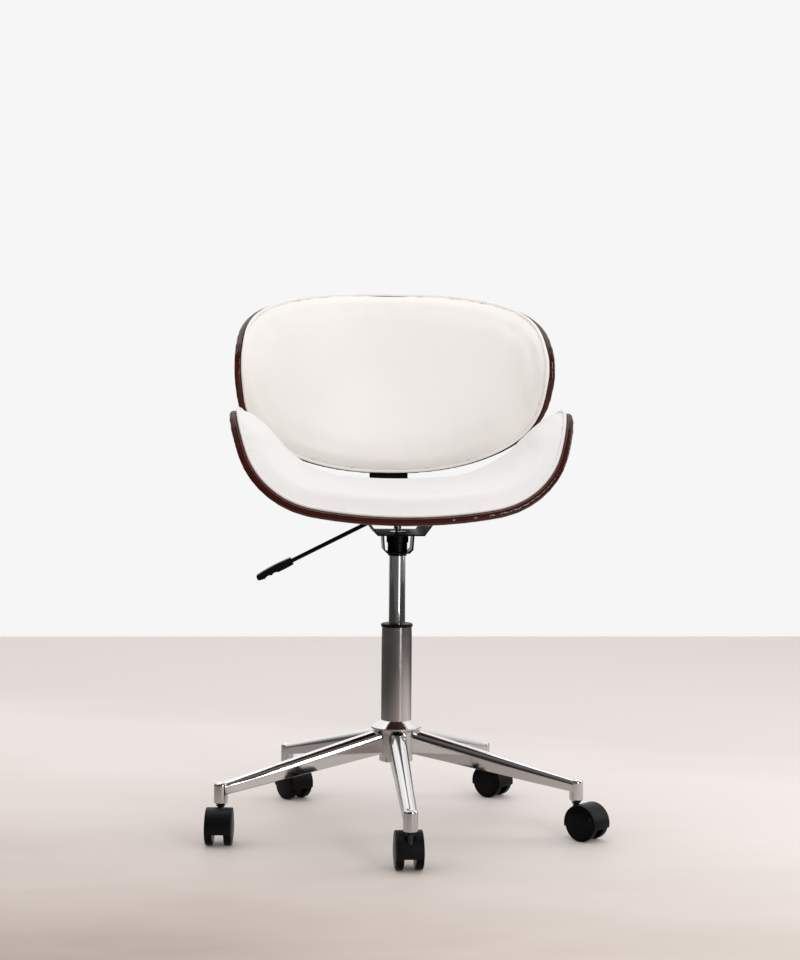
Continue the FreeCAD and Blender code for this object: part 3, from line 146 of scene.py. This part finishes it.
# Floor: a smooth pale floor that ends behind the chair against the backdrop. It is a cast screed with a faint
# cloudy figure, and painted shade makes it warmer and darker towards the near left. In polished metal it is painted
# towards a dark flat shade away from a spot near the chair, a painted darkening of its reflection.
FLOOR_HALF = (5, 2.9, 1)
FLOOR_TURN = radians(-0.7)
floor_shape = bmesh.new()
bmesh.ops.create_grid(floor_shape, x_segments=8, y_segments=8, size=1)
bmesh.ops.scale(floor_shape, vec=FLOOR_HALF, verts=floor_shape.verts)
bmesh.ops.translate(floor_shape, vec=(0, -0.3, 0), verts=floor_shape.verts)
bmesh.ops.rotate(floor_shape, cent=(0, 0, 0), matrix=Matrix.Rotation(FLOOR_TURN, 3, "Z"),
                 verts=floor_shape.verts)


def new_piece(name, shape, *materials):
    """Turns a bmesh into an object with its materials."""
    mesh = bpy.data.meshes.new(name)
    shape.to_mesh(mesh)
    shape.free()
    for material in materials:
        mesh.materials.append(material)
    made = bpy.data.objects.new(name, mesh)
    bpy.context.scene.collection.objects.link(made)
    return made


def new_material(name, colour, roughness, **sockets):
    """A material with one Principled shader; the values that are the same all over sit on its own sockets."""
    made = bpy.data.materials.new(name)
    made.use_nodes = True
    tree = made.node_tree
    shader = tree.nodes["Principled BSDF"]
    shader.inputs["Base Color"].default_value = (*colour, 1)
    shader.inputs["Roughness"].default_value = roughness
    for socket, value in sockets.items():
        shader.inputs[socket.replace("_", " ")].default_value = value
    return made, tree, shader


def place_on(tree, scale=(1, 1, 1)):
    """The piece's own coordinates in metres, stretched where a finish runs one way."""
    coordinates = wire(tree, "ShaderNodeTexCoord").outputs["Object"]
    return wire(tree, "ShaderNodeMapping", coordinates, None, None, scale).outputs[0]


screed, tree, shader = new_material("screed", (0.8, 0.74, 0.69), 0.55, Specular_IOR_Level=0.2)
cloud = wire(tree, "ShaderNodeTexNoise", place_on(tree, (0.7, 1.6, 1)), None, 1.5, 5.0, 0.6)
across = wire(tree, "ShaderNodeSeparateXYZ", place_on(tree))
# The slope is painted shade: the floor's colour darkens and warms towards the near left, where less light falls.
painted_shade_slope = wire(tree, "ShaderNodeMath", across.outputs["X"], 0.55, across.outputs["Y"], operation="MULTIPLY_ADD")
cloud_and_painted_shade = wire(tree, "ShaderNodeMath", cloud.outputs[0], 0.9, painted_shade_slope.outputs[0], operation="MULTIPLY_ADD")
cloud_and_shade_level = wire(tree, "ShaderNodeMapRange", cloud_and_painted_shade.outputs[0], -0.55, 1.45, 0.0, 1.0)
tone = ramp(tree, cloud_and_shade_level.outputs[0], (0.0, (0.47, 0.39, 0.35)), (0.2, (0.66, 0.58, 0.535)),
            (0.4, (0.77, 0.695, 0.65)), (0.62, (0.86, 0.795, 0.765)), (0.85, (0.87, 0.81, 0.785)),
            (1.0, (0.8, 0.74, 0.71)))
tree.links.new(tone, shader.inputs["Base Color"])
# Glossy rays see the floor blended towards a flat dark shade, less so near a spot at the chair's right front: a
# painted darkening of the floor's reflection in polished metal.
lit_side = wire(tree, "ShaderNodeVectorMath", place_on(tree), (0.45, -0.3, 0), operation="DISTANCE")
fade = wire(tree, "ShaderNodeMapRange", lit_side.outputs["Value"], 0.6, 2.0, 0.36, 0.95,
            interpolation_type="SMOOTHSTEP")
glossy = wire(tree, "ShaderNodeLightPath").outputs["Is Glossy Ray"]
painted_dark_share = wire(tree, "ShaderNodeMath", glossy, fade.outputs[0], operation="MULTIPLY")
painted_dark_reflection = wire(tree, "ShaderNodeBsdfDiffuse", (0.03, 0.03, 0.03, 1))
faded = wire(tree, "ShaderNodeMixShader", painted_dark_share.outputs[0], shader.outputs[0], painted_dark_reflection.outputs[0])
tree.links.new(faded.outputs[0], tree.nodes["Material Output"].inputs["Surface"])
floor = new_piece("floor", floor_shape, screed)


# Chrome: the hub, the five arms, the stand tube and the moving cylinder are plated steel. Plating is never quite
# even, so a faint haze of wiping marks lies over it.
def new_group(name, inputs, outputs, kind="ShaderNodeTree"):
    """A node group with its sockets, each a name and a type, and the outputs of its input node."""
    group = bpy.data.node_groups.new(name, kind)
    for way, sockets in (("INPUT", inputs), ("OUTPUT", outputs)):
        for socket, carries in sockets:
            group.interface.new_socket(name=socket, in_out=way, socket_type="NodeSocket" + carries)
    return group, wire(group, "NodeGroupInput").outputs


def wiping_marks():
    """Node group: the roughness of a polished face with faint marks from wiping."""
    group, given = new_group("wiping_marks", (("Vector", "Vector"), ("Size", "Float"), ("Low", "Float"),
                                              ("High", "Float")), (("Roughness", "Float"),))
    broad = wire(group, "ShaderNodeTexNoise", given["Vector"], None, given["Size"], 4.0, 0.6)
    finer = wire(group, "ShaderNodeMath", given["Size"], 9.0, operation="MULTIPLY")
    fine = wire(group, "ShaderNodeTexNoise", given["Vector"], None, finer.outputs[0], 2.0, 0.5)
    both = wire(group, "ShaderNodeMath", broad.outputs[0], fine.outputs[0], operation="MULTIPLY")
    spread = wire(group, "ShaderNodeMapRange", both.outputs[0], 0.12, 0.42, given["Low"], given["High"])
    wire(group, "NodeGroupOutput", spread.outputs[0])
    return group


WIPING_MARKS = wiping_marks()


def add_marks(tree, shader, size, low, high, scale=(1, 1, 1)):
    """Puts the wiping marks on a material's roughness."""
    marks = wire(tree, "ShaderNodeGroup", node_tree=WIPING_MARKS)
    tree.links.new(place_on(tree, scale), marks.inputs["Vector"])
    for name, value in (("Size", size), ("Low", low), ("High", high)):
        marks.inputs[name].default_value = value
    tree.links.new(marks.outputs["Roughness"], shader.inputs["Roughness"])


chrome, tree, shader = new_material("chrome", (0.83, 0.815, 0.805), 0.06, Metallic=1.0)
add_marks(tree, shader, 28, 0.03, 0.09)
satin_chrome, tree, shader = new_material("satin_chrome", (0.8, 0.78, 0.77), 0.14, Metallic=1.0)
add_marks(tree, shader, 24, 0.11, 0.18, (1, 1, 0.25))


SHARP = radians(32)
WELD = 1e-5


def soft_edges():
    """Geometry node group: merges a CAD node's loose triangles and smooths them up to its real edges."""
    group, given = new_group("soft_edges", (("Geometry", "Geometry"),), (("Geometry", "Geometry"),),
                             "GeometryNodeTree")
    merged = wire(group, "GeometryNodeMergeByDistance", given["Geometry"])
    merged.inputs["Distance"].default_value = WELD
    smooth = wire(group, "GeometryNodeSetShadeSmooth", merged.outputs[0], domain="FACE")
    smooth.inputs["Shade Smooth"].default_value = True
    angle = wire(group, "GeometryNodeInputMeshEdgeAngle").outputs["Unsigned Angle"]
    gentle = wire(group, "FunctionNodeCompare", angle, SHARP, data_type="FLOAT", operation="LESS_THAN")
    edged = wire(group, "GeometryNodeSetShadeSmooth", smooth.outputs[0], domain="EDGE")
    group.links.new(gentle.outputs[0], edged.inputs["Shade Smooth"])
    wire(group, "NodeGroupOutput", edged.outputs[0])
    return group


SOFT_EDGES = soft_edges()


def dress(names, material, round_edge=0.0):
    """Gives CAD nodes their material, smooth faces and slightly rounded edges."""
    for name in names:
        node = nodes[name]
        node.data.materials.clear()
        node.data.materials.append(material)
        node.modifiers.new("soft_edges", "NODES").node_group = SOFT_EDGES
        if round_edge:
            edge = node.modifiers.new("round_edge", "BEVEL")
            edge.width = round_edge
            edge.segments = 2
            edge.limit_method = "ANGLE"
            edge.angle_limit = SHARP


ARMS = ("front", "right", "rear_right", "rear_left", "left")
dress(["base_hub", *["base_arm_" + arm for arm in ARMS]], chrome, 0.0006)
dress(["stand_tube"], satin_chrome, 0.0004)
dress(["gas_cylinder"], chrome, 0.0004)

# Bearing, rod, clip, valve pin, axles, stems and tee nuts: plain bright steel, turned or pressed, mostly out of
# sight inside the lift, the sockets and the wood.
bright_steel, tree, shader = new_material("bright_steel", (0.56, 0.55, 0.54), 0.3, Metallic=1.0)
add_marks(tree, shader, 60, 0.24, 0.4)
dress(["piston_rod", "lower_race", "upper_race", "ball_cage", "rod_clip", "valve_pin",
       *["caster_axle_" + arm for arm in ARMS], "plate_tee_nuts", "bracket_tee_nuts", "back_tee_nuts"], bright_steel)
# The caster stems get a near-black copy of the bright steel: painted shade for the shaded notch in the hoods where
# they stand.
stem_steel_painted_dark, tree, shader = new_material("stem_steel_painted_dark", (0.06, 0.058, 0.056), 0.4, Metallic=1.0)
add_marks(tree, shader, 60, 0.3, 0.5)
dress(["caster_stems"], stem_steel_painted_dark)


# Guide bush, sleeves, casters and paddle: moulded black plastic. The hoods and the paddle have the fine spark
# texture of the mould; the wheels are glossier, with a fainter grain and a patchy roughness all over.
def fine_grain():
    """Node group: a close even grain as height and a mask, for textured plastic and paint."""
    group, given = new_group("fine_grain", (("Vector", "Vector"), ("Size", "Float")),
                             (("Height", "Float"), ("Dust", "Float")))
    grain = wire(group, "ShaderNodeTexNoise", given["Vector"], None, given["Size"], 2.0, 0.6)
    patch = wire(group, "ShaderNodeTexNoise", given["Vector"], None, 22.0, 4.0, 0.7)
    dust = wire(group, "ShaderNodeMapRange", patch.outputs[0], 0.45, 0.75, 0.0, 1.0)
    wire(group, "NodeGroupOutput", grain.outputs[0], dust.outputs[0])
    return group


FINE_GRAIN = fine_grain()


def add_grain(tree, shader, size, depth, dark, light):
    """Puts the fine grain on a material's normal and a faint dusty variation on its colour."""
    grain = wire(tree, "ShaderNodeGroup", place_on(tree), size, node_tree=FINE_GRAIN)
    bump = wire(tree, "ShaderNodeBump", 1.0, depth)
    tree.links.new(grain.outputs["Height"], bump.inputs["Height"])
    tree.links.new(bump.outputs[0], shader.inputs["Normal"])
    tree.links.new(ramp(tree, grain.outputs["Dust"], (0.0, dark), (1.0, light)), shader.inputs["Base Color"])


moulded, tree, shader = new_material("moulded_black", (0.02, 0.02, 0.02), 0.42, Specular_IOR_Level=0.16)
add_grain(tree, shader, 1400, 0.00006, (0.0025, 0.0025, 0.0026), (0.006, 0.0058, 0.0056))
wheel_black, tree, shader = new_material("wheel_black", (0.012, 0.012, 0.012), 0.2,
                                         Specular_IOR_Level=0.1)
add_grain(tree, shader, 900, 0.00001, (0.0015, 0.0015, 0.0015), (0.004, 0.004, 0.0038))
add_marks(tree, shader, 40, 0.14, 0.3)
dress(["guide_bush", "caster_sleeves", "lever_grip", *["caster_hood_" + arm for arm in ARMS]], moulded, 0.0005)
dress(["caster_wheel_%s_%s" % (arm, side) for arm in ARMS for side in ("left", "right")], wheel_black,
      0.0003)
rubber, tree, shader = new_material("bumper_rubber", (0.03, 0.03, 0.03), 0.7)
add_grain(tree, shader, 700, 0.0001, (0.022, 0.022, 0.022), (0.035, 0.035, 0.035))
dress(["rubber_bumper"], rubber)

# Seat plate, strap, bush, bracket, lever rod and screws: pressed and bent steel under satin black powder paint,
# with a slight orange peel.
black_paint, tree, shader = new_material("black_paint", (0.02, 0.02, 0.021), 0.34, Specular_IOR_Level=0.16)
add_grain(tree, shader, 420, 0.00009, (0.0015, 0.0015, 0.0016), (0.004, 0.004, 0.0042))
dress(["seat_plate", "plate_strap", "taper_bush", "back_bracket", "lever_rod"], black_paint, 0.0006)
black_screws, tree, shader = new_material("black_screws", (0.03, 0.03, 0.03), 0.32, Metallic=0.6)
add_grain(tree, shader, 800, 0.00003, (0.02, 0.02, 0.02), (0.04, 0.04, 0.04))
dress(["plate_screws", "bracket_screws", "back_screws"], black_screws)


# Shells: seat and back are moulded plywood with a dark stained veneer under gloss lacquer. The grain runs front
# to back on the seat and upright on the back. The edges are sanded round and show the plies; the lacquer makes up
# for what the sanding takes off.
def veneer_figure():
    """Node group: the tone of stained veneer from 0 dark to 1 light, and its pores, with the grain along Y."""
    group, given = new_group("veneer_figure", (("Vector", "Vector"),), (("Tone", "Float"), ("Pores", "Float")))
    slow = wire(group, "ShaderNodeMapping", given["Vector"], None, None, (1, 0.16, 1)).outputs[0]
    drift = wire(group, "ShaderNodeTexNoise", slow, None, 14.0, 3.0, 0.55)
    bent = wire(group, "ShaderNodeMix", 0.03, data_type="VECTOR")
    group.links.new(slow, bent.inputs["A"])
    group.links.new(drift.outputs["Color"], bent.inputs["B"])
    bands = wire(group, "ShaderNodeTexNoise", bent.outputs["Result"], None, 60.0, 6.0, 0.62)
    streaks = wire(group, "ShaderNodeMapping", given["Vector"], None, None, (1, 0.035, 1)).outputs[0]
    fine = wire(group, "ShaderNodeTexNoise", streaks, None, 700.0, 3.0, 0.6)
    body = wire(group, "ShaderNodeMath", bands.outputs[0], 0.68, operation="MULTIPLY")
    hair = wire(group, "ShaderNodeMath", fine.outputs[0], 0.32, operation="MULTIPLY")
    tone = wire(group, "ShaderNodeMath", body.outputs[0], hair.outputs[0], operation="ADD")
    clear = wire(group, "ShaderNodeMapRange", tone.outputs[0], 0.36, 0.62, 0.0, 1.0)
    pores = wire(group, "ShaderNodeMapRange", fine.outputs[0], 0.3, 0.42, 1.0, 0.0)
    wire(group, "NodeGroupOutput", clear.outputs[0], pores.outputs[0])
    return group


VENEER_FIGURE = veneer_figure()


def veneer(name, turn):
    """Stained and lacquered veneer whose grain follows one direction of the piece."""
    made, tree, shader = new_material(name, (0.04, 0.007, 0.003), 0.3, Specular_IOR_Level=0.02,
                                      Coat_Weight=0.85, Coat_Roughness=0.09)
    coordinates = wire(tree, "ShaderNodeTexCoord").outputs["Object"]
    turned = wire(tree, "ShaderNodeMapping", coordinates, None, turn).outputs[0]
    figure = wire(tree, "ShaderNodeGroup", turned, node_tree=VENEER_FIGURE)
    tone = ramp(tree, figure.outputs["Tone"], (0.0, (0.014, 0.0016, 0.0006)), (0.45, (0.036, 0.0045, 0.0015)),
                (1.0, (0.08, 0.013, 0.004)))
    tree.links.new(tone, shader.inputs["Base Color"])
    bump = wire(tree, "ShaderNodeBump", 0.35, 0.00004, invert=True)
    tree.links.new(figure.outputs["Pores"], bump.inputs["Height"])
    tree.links.new(bump.outputs[0], shader.inputs["Normal"])
    return made


PLIES = 7


def ply_edges():
    """The sanded edge of the plywood: thin plies, alternately end and side grain, stained like the faces."""
    made, tree, shader = new_material("ply_edges", (0.04, 0.008, 0.003), 0.36, Specular_IOR_Level=0.02,
                                      Coat_Weight=0.85, Coat_Roughness=0.12)
    depth = wire(tree, "ShaderNodeAttribute", attribute_name="ply").outputs["Fac"]
    wander = wire(tree, "ShaderNodeTexNoise", place_on(tree), None, 60.0, 2.0, 0.5)
    shifted = wire(tree, "ShaderNodeMath", wander.outputs[0], 0.03, depth, operation="MULTIPLY_ADD")
    plies = wire(tree, "ShaderNodeMath", shifted.outputs[0], PLIES * pi, operation="MULTIPLY")
    wave = wire(tree, "ShaderNodeMath", plies.outputs[0], operation="SINE")
    fibre = wire(tree, "ShaderNodeTexNoise", place_on(tree), None, 900.0, 3.0, 0.6)
    mixed = wire(tree, "ShaderNodeMath", fibre.outputs[0], 0.9, wave.outputs[0], operation="MULTIPLY_ADD")
    level = wire(tree, "ShaderNodeMapRange", mixed.outputs[0], -0.6, 1.6, 0.0, 1.0)
    tone = ramp(tree, level.outputs[0], (0.0, (0.022, 0.0024, 0.0008)), (0.5, (0.042, 0.0056, 0.0018)),
                (1.0, (0.075, 0.013, 0.0045)))
    tree.links.new(tone, shader.inputs["Base Color"])
    return made


def merged_copy(node):
    """A CAD node's mesh with its loose triangles joined."""
    shape = bmesh.new()
    shape.from_mesh(nodes[node].data)
    bmesh.ops.remove_doubles(shape, verts=shape.verts, dist=WELD)
    shape.normal_update()
    return shape


REAL_EDGE = radians(25)


def smooth_region(seed):
    """The faces that join the seed face without a real edge between them."""
    found = {seed}
    waiting = [seed]
    while waiting:
        face = waiting.pop()
        for edge in face.edges:
            if len(edge.link_faces) == 2 and edge.calc_face_angle(0) < REAL_EDGE:
                for other in edge.link_faces:
                    if other not in found:
                        found.add(other)
                        waiting.append(other)
    return found


VENEERS = {"seat": veneer("seat_veneer", (0, 0, 0)), "back": veneer("back_veneer", (pi / 2, 0, 0))}
PLY_EDGES = ply_edges()
WOOD = 0.012
SHELL_MESH = 0.0026
EDGE_SANDING = 22
LACQUER = 0.0008
FACE_PLY = 0.1


def baked(piece):
    """Turns a piece's modifiers into its mesh."""
    bpy.context.view_layer.update()
    mesh = bpy.data.meshes.new_from_object(piece.evaluated_get(bpy.context.evaluated_depsgraph_get()))
    piece.modifiers.clear()
    piece.data = mesh


def even_mesh(piece, size):
    """Gives a piece a mesh of even small faces."""
    remesh = piece.modifiers.new("even_mesh", "REMESH")
    remesh.mode = "VOXEL"
    remesh.voxel_size = size


shell_trees = {}
for part, outer_way in (("seat", Vector((0, 0, -1))), ("back", Vector((0, 1, 0)))):
    shell = merged_copy(part + "_shell")
    middle = max(shell.faces, key=lambda face: face.calc_center_median().dot(outer_way) * 100
                 + face.calc_area())
    outer_tree = BVHTree.FromPolygons([vertex.co.copy() for vertex in shell.verts],
                                      [[vertex.index for vertex in face.verts]
                                       for face in smooth_region(middle)])
    shell_trees[part] = BVHTree.FromBMesh(shell)
    piece = new_piece(part + "_veneered_shell", shell, VENEERS[part], PLY_EDGES)
    even_mesh(piece, SHELL_MESH)
    sanded = piece.modifiers.new("sanded", "SMOOTH")
    sanded.factor = 0.5
    sanded.iterations = EDGE_SANDING
    lacquered = piece.modifiers.new("lacquered", "DISPLACE")
    lacquered.mid_level = 0
    lacquered.strength = LACQUER
    baked(piece)
    shares = [outer_tree.find_nearest(vertex.co)[3] / WOOD for vertex in piece.data.vertices]
    piece.data.attributes.new("ply", "FLOAT", "POINT").data.foreach_set("value", shares)
    for face in piece.data.polygons:
        depth = sum(shares[index] for index in face.vertices) / len(face.vertices)
        face.material_index = 1 if FACE_PLY < depth < 1 - FACE_PLY else 0
    piece.data.shade_smooth()
    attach(piece, "seat")
    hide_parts(part + "_shell")


# Pads: foam in a smooth cream leather cover, glued on the shells. A welt, a leather cord in its own strip of
# cover, runs round the foot of each pad and closes the joint to the wood.
def leather_hide():
    """Node group: the cells and the broad unevenness of a smooth pigmented hide."""
    group, given = new_group("leather_hide", (("Vector", "Vector"),), (("Height", "Float"), ("Tone", "Float")))
    cells = wire(group, "ShaderNodeTexVoronoi", given["Vector"], None, 620.0, feature="SMOOTH_F1")
    wrinkles = wire(group, "ShaderNodeTexNoise", given["Vector"], None, 130.0, 4.0, 0.6)
    height = wire(group, "ShaderNodeMath", wrinkles.outputs[0], 0.8, cells.outputs["Distance"],
                  operation="MULTIPLY_ADD")
    broad = wire(group, "ShaderNodeTexNoise", given["Vector"], None, 5.0, 3.0, 0.5)
    wire(group, "NodeGroupOutput", height.outputs[0], broad.outputs[0])
    return group


LEATHER_HIDE = leather_hide()


def leather(name, dark, light, depth):
    """Cream leather between two tones, with the hide's grain at a depth in metres."""
    made, tree, shader = new_material(name, light, 0.48, Sheen_Weight=0.08, Sheen_Roughness=0.4)
    hide = wire(tree, "ShaderNodeGroup", place_on(tree), node_tree=LEATHER_HIDE)
    tree.links.new(ramp(tree, hide.outputs["Tone"], (0.3, dark), (0.7, light)), shader.inputs["Base Color"])
    bump = wire(tree, "ShaderNodeBump", 0.6, depth)
    tree.links.new(hide.outputs["Height"], bump.inputs["Height"])
    tree.links.new(bump.outputs[0], shader.inputs["Normal"])
    return made


LEATHER_DEPTH = 0.00018
# Both pads have the same cream leather; the seat's copy is painted darker, painted shade that offsets the stronger
# light falling on the seat.
COVERS = {"seat": leather("seat_leather", (0.81, 0.797, 0.785), (0.845, 0.832, 0.82), LEATHER_DEPTH),
          "back": leather("back_leather", (0.885, 0.86, 0.83), (0.92, 0.895, 0.868), LEATHER_DEPTH)}

# The welt's size, and how far it reaches past the pad's foot: more where it runs along the back's top and bottom.
WELT_RADIUS = 0.0028
WELT_STEP = 0.009
WELT_REACH = {"seat": 0.004, "back": 0.0048}
WELT_EXTRA = {"seat": 0.0, "back": 0.0016}

# The foam before the cover swells: how far it starts below the cover, and how far its side stands back above the
# welt while its foot reaches under the welt.
START_DROP = 0.004
FOOT_OVERLAP = {"seat": 0.003, "back": 0.0052}
WELT_ROOM = 0.0065
ROOM_HEIGHT = 0.011
CUSHION_MESH = 0.005

# The cover: how near the wood it is held, how it swells and how often it is smoothed.
PIN_REACH = 0.006
SWELL_PRESSURE = 4
SWELL_FRAMES = 20
SWELL_LIMIT = 0.0055
COVER_SMOOTHING = 22


def foot_border(pad, wood):
    """The pad's outline on the wood as one loop of points with the wood's normal at each."""
    sheet = pad.copy()
    resting = min(sheet.faces, key=lambda face: wood.find_nearest(face.calc_center_median())[3]
                  - face.calc_area())
    resting_side = smooth_region(resting)
    bmesh.ops.delete(sheet, geom=[face for face in sheet.faces if face not in resting_side], context="FACES")
    sheet.normal_update()
    edge = [edge for edge in sheet.edges if edge.is_boundary][0]
    vertex = edge.verts[0]
    loop = []
    while not loop or vertex.co != loop[0][0]:
        loop.append((vertex.co.copy(), -vertex.normal))
        vertex = edge.other_vert(vertex)
        edge = [other for other in vertex.link_edges if other.is_boundary and other != edge][0]
    sheet.free()
    return loop


def even_steps(loop, step):
    """The loop's points and normals again, at equal steps."""
    ring = loop + loop[:1]
    lengths = [(b[0] - a[0]).length for a, b in zip(ring, ring[1:])]
    count = int(sum(lengths) / step)
    found = []
    for number in range(count):
        left = sum(lengths) * number / count
        index = 0
        while left > lengths[index]:
            left -= lengths[index]
            index += 1
        share = left / lengths[index]
        here, there = ring[index:index + 2]
        found.append((here[0].lerp(there[0], share), here[1].lerp(there[1], share)))
    return found


def welt_piece(name, loop, centre, reach, extra, material):
    """A round cord that follows the pad's foot, lying on the wood and reaching a little past the foot."""
    curve = bpy.data.curves.new(name, "CURVE")
    curve.dimensions = "3D"
    curve.bevel_depth = WELT_RADIUS
    curve.bevel_resolution = 3
    spline = curve.splines.new("NURBS")
    spline.points.add(len(loop) - 1)
    for index, (point, normal) in enumerate(loop):
        ahead = loop[(index + 1) % len(loop)][0] - loop[index - 1][0]
        outward = ahead.cross(normal).normalized()
        if outward.dot(point - centre) < 0:
            outward = -outward
        place = point + outward * (reach + extra * abs(outward.z) - WELT_RADIUS) + normal * WELT_RADIUS
        spline.points[index].co = (*place, 1)
    spline.use_cyclic_u = True
    spline.order_u = 4
    spline.resolution_u = 3
    drawn = bpy.data.objects.new(name + "_line", curve)
    bpy.context.scene.collection.objects.link(drawn)
    bpy.context.view_layer.update()
    mesh = bpy.data.meshes.new_from_object(drawn.evaluated_get(bpy.context.evaluated_depsgraph_get()))
    bpy.data.objects.remove(drawn)
    mesh.name = name
    mesh.materials.clear()
    mesh.materials.append(material)
    mesh.shade_smooth()
    made = bpy.data.objects.new(name, mesh)
    bpy.context.scene.collection.objects.link(made)
    return made


def swell(piece):
    """Blows the cover up a little over its foam with cloth, its foot held on the wood."""
    start = [vertex.co.copy() for vertex in piece.data.vertices]
    cloth = piece.modifiers.new("cover", "CLOTH")
    cloth.settings.quality = 5
    cloth.settings.use_pressure = True
    cloth.settings.uniform_pressure_force = SWELL_PRESSURE
    cloth.settings.effector_weights.gravity = 0
    cloth.settings.vertex_group_mass = "foot"
    cloth.collision_settings.use_collision = False
    for number in range(1, SWELL_FRAMES + 1):
        bpy.context.scene.frame_set(number)
    baked(piece)
    bpy.context.scene.frame_set(1)
    for vertex, place in zip(piece.data.vertices, start):
        move = vertex.co - place
        if move.length > SWELL_LIMIT:
            vertex.co = place + move.normalized() * SWELL_LIMIT


for part in ("seat", "back"):
    wood = shell_trees[part]
    pad = merged_copy(part + "_pad")
    loop = even_steps(foot_border(pad, wood), WELT_STEP)
    centre = sum((point for point, _ in loop), Vector()) / len(loop)
    welt = welt_piece(part + "_welt", loop, centre, WELT_REACH[part], WELT_EXTRA[part], COVERS[part])
    moves = []
    for vertex in pad.verts:
        above = vertex.co - wood.find_nearest(vertex.co)[0]
        out = above.normalized()
        sideways = vertex.normal - out * vertex.normal.dot(out)
        overlap = FOOT_OVERLAP[part]
        room = (WELT_ROOM + overlap) * min(1, above.length / ROOM_HEIGHT) - overlap
        moves.append(out * START_DROP * max(0, vertex.normal.dot(out)) + sideways * room)
    for vertex, move in zip(pad.verts, moves):
        vertex.co -= move
    cushion = new_piece(part + "_cushion", pad, COVERS[part])
    even_mesh(cushion, CUSHION_MESH)
    baked(cushion)
    foot = cushion.vertex_groups.new(name="foot")
    foot.add([vertex.index for vertex in cushion.data.vertices
              if wood.find_nearest(vertex.co)[3] < PIN_REACH], 1.0, "REPLACE")
    swell(cushion)
    relax = cushion.modifiers.new("relax", "SMOOTH")
    relax.factor = 0.5
    relax.iterations = COVER_SMOOTHING
    relax.vertex_group = "foot"
    relax.invert_vertex_group = True
    finer = cushion.modifiers.new("finer", "SUBSURF")
    finer.levels = 1
    finer.render_levels = 1
    baked(cushion)
    cushion.data.shade_smooth()
    for piece in (cushion, welt):
        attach(piece, "seat")
    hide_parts(part + "_pad")
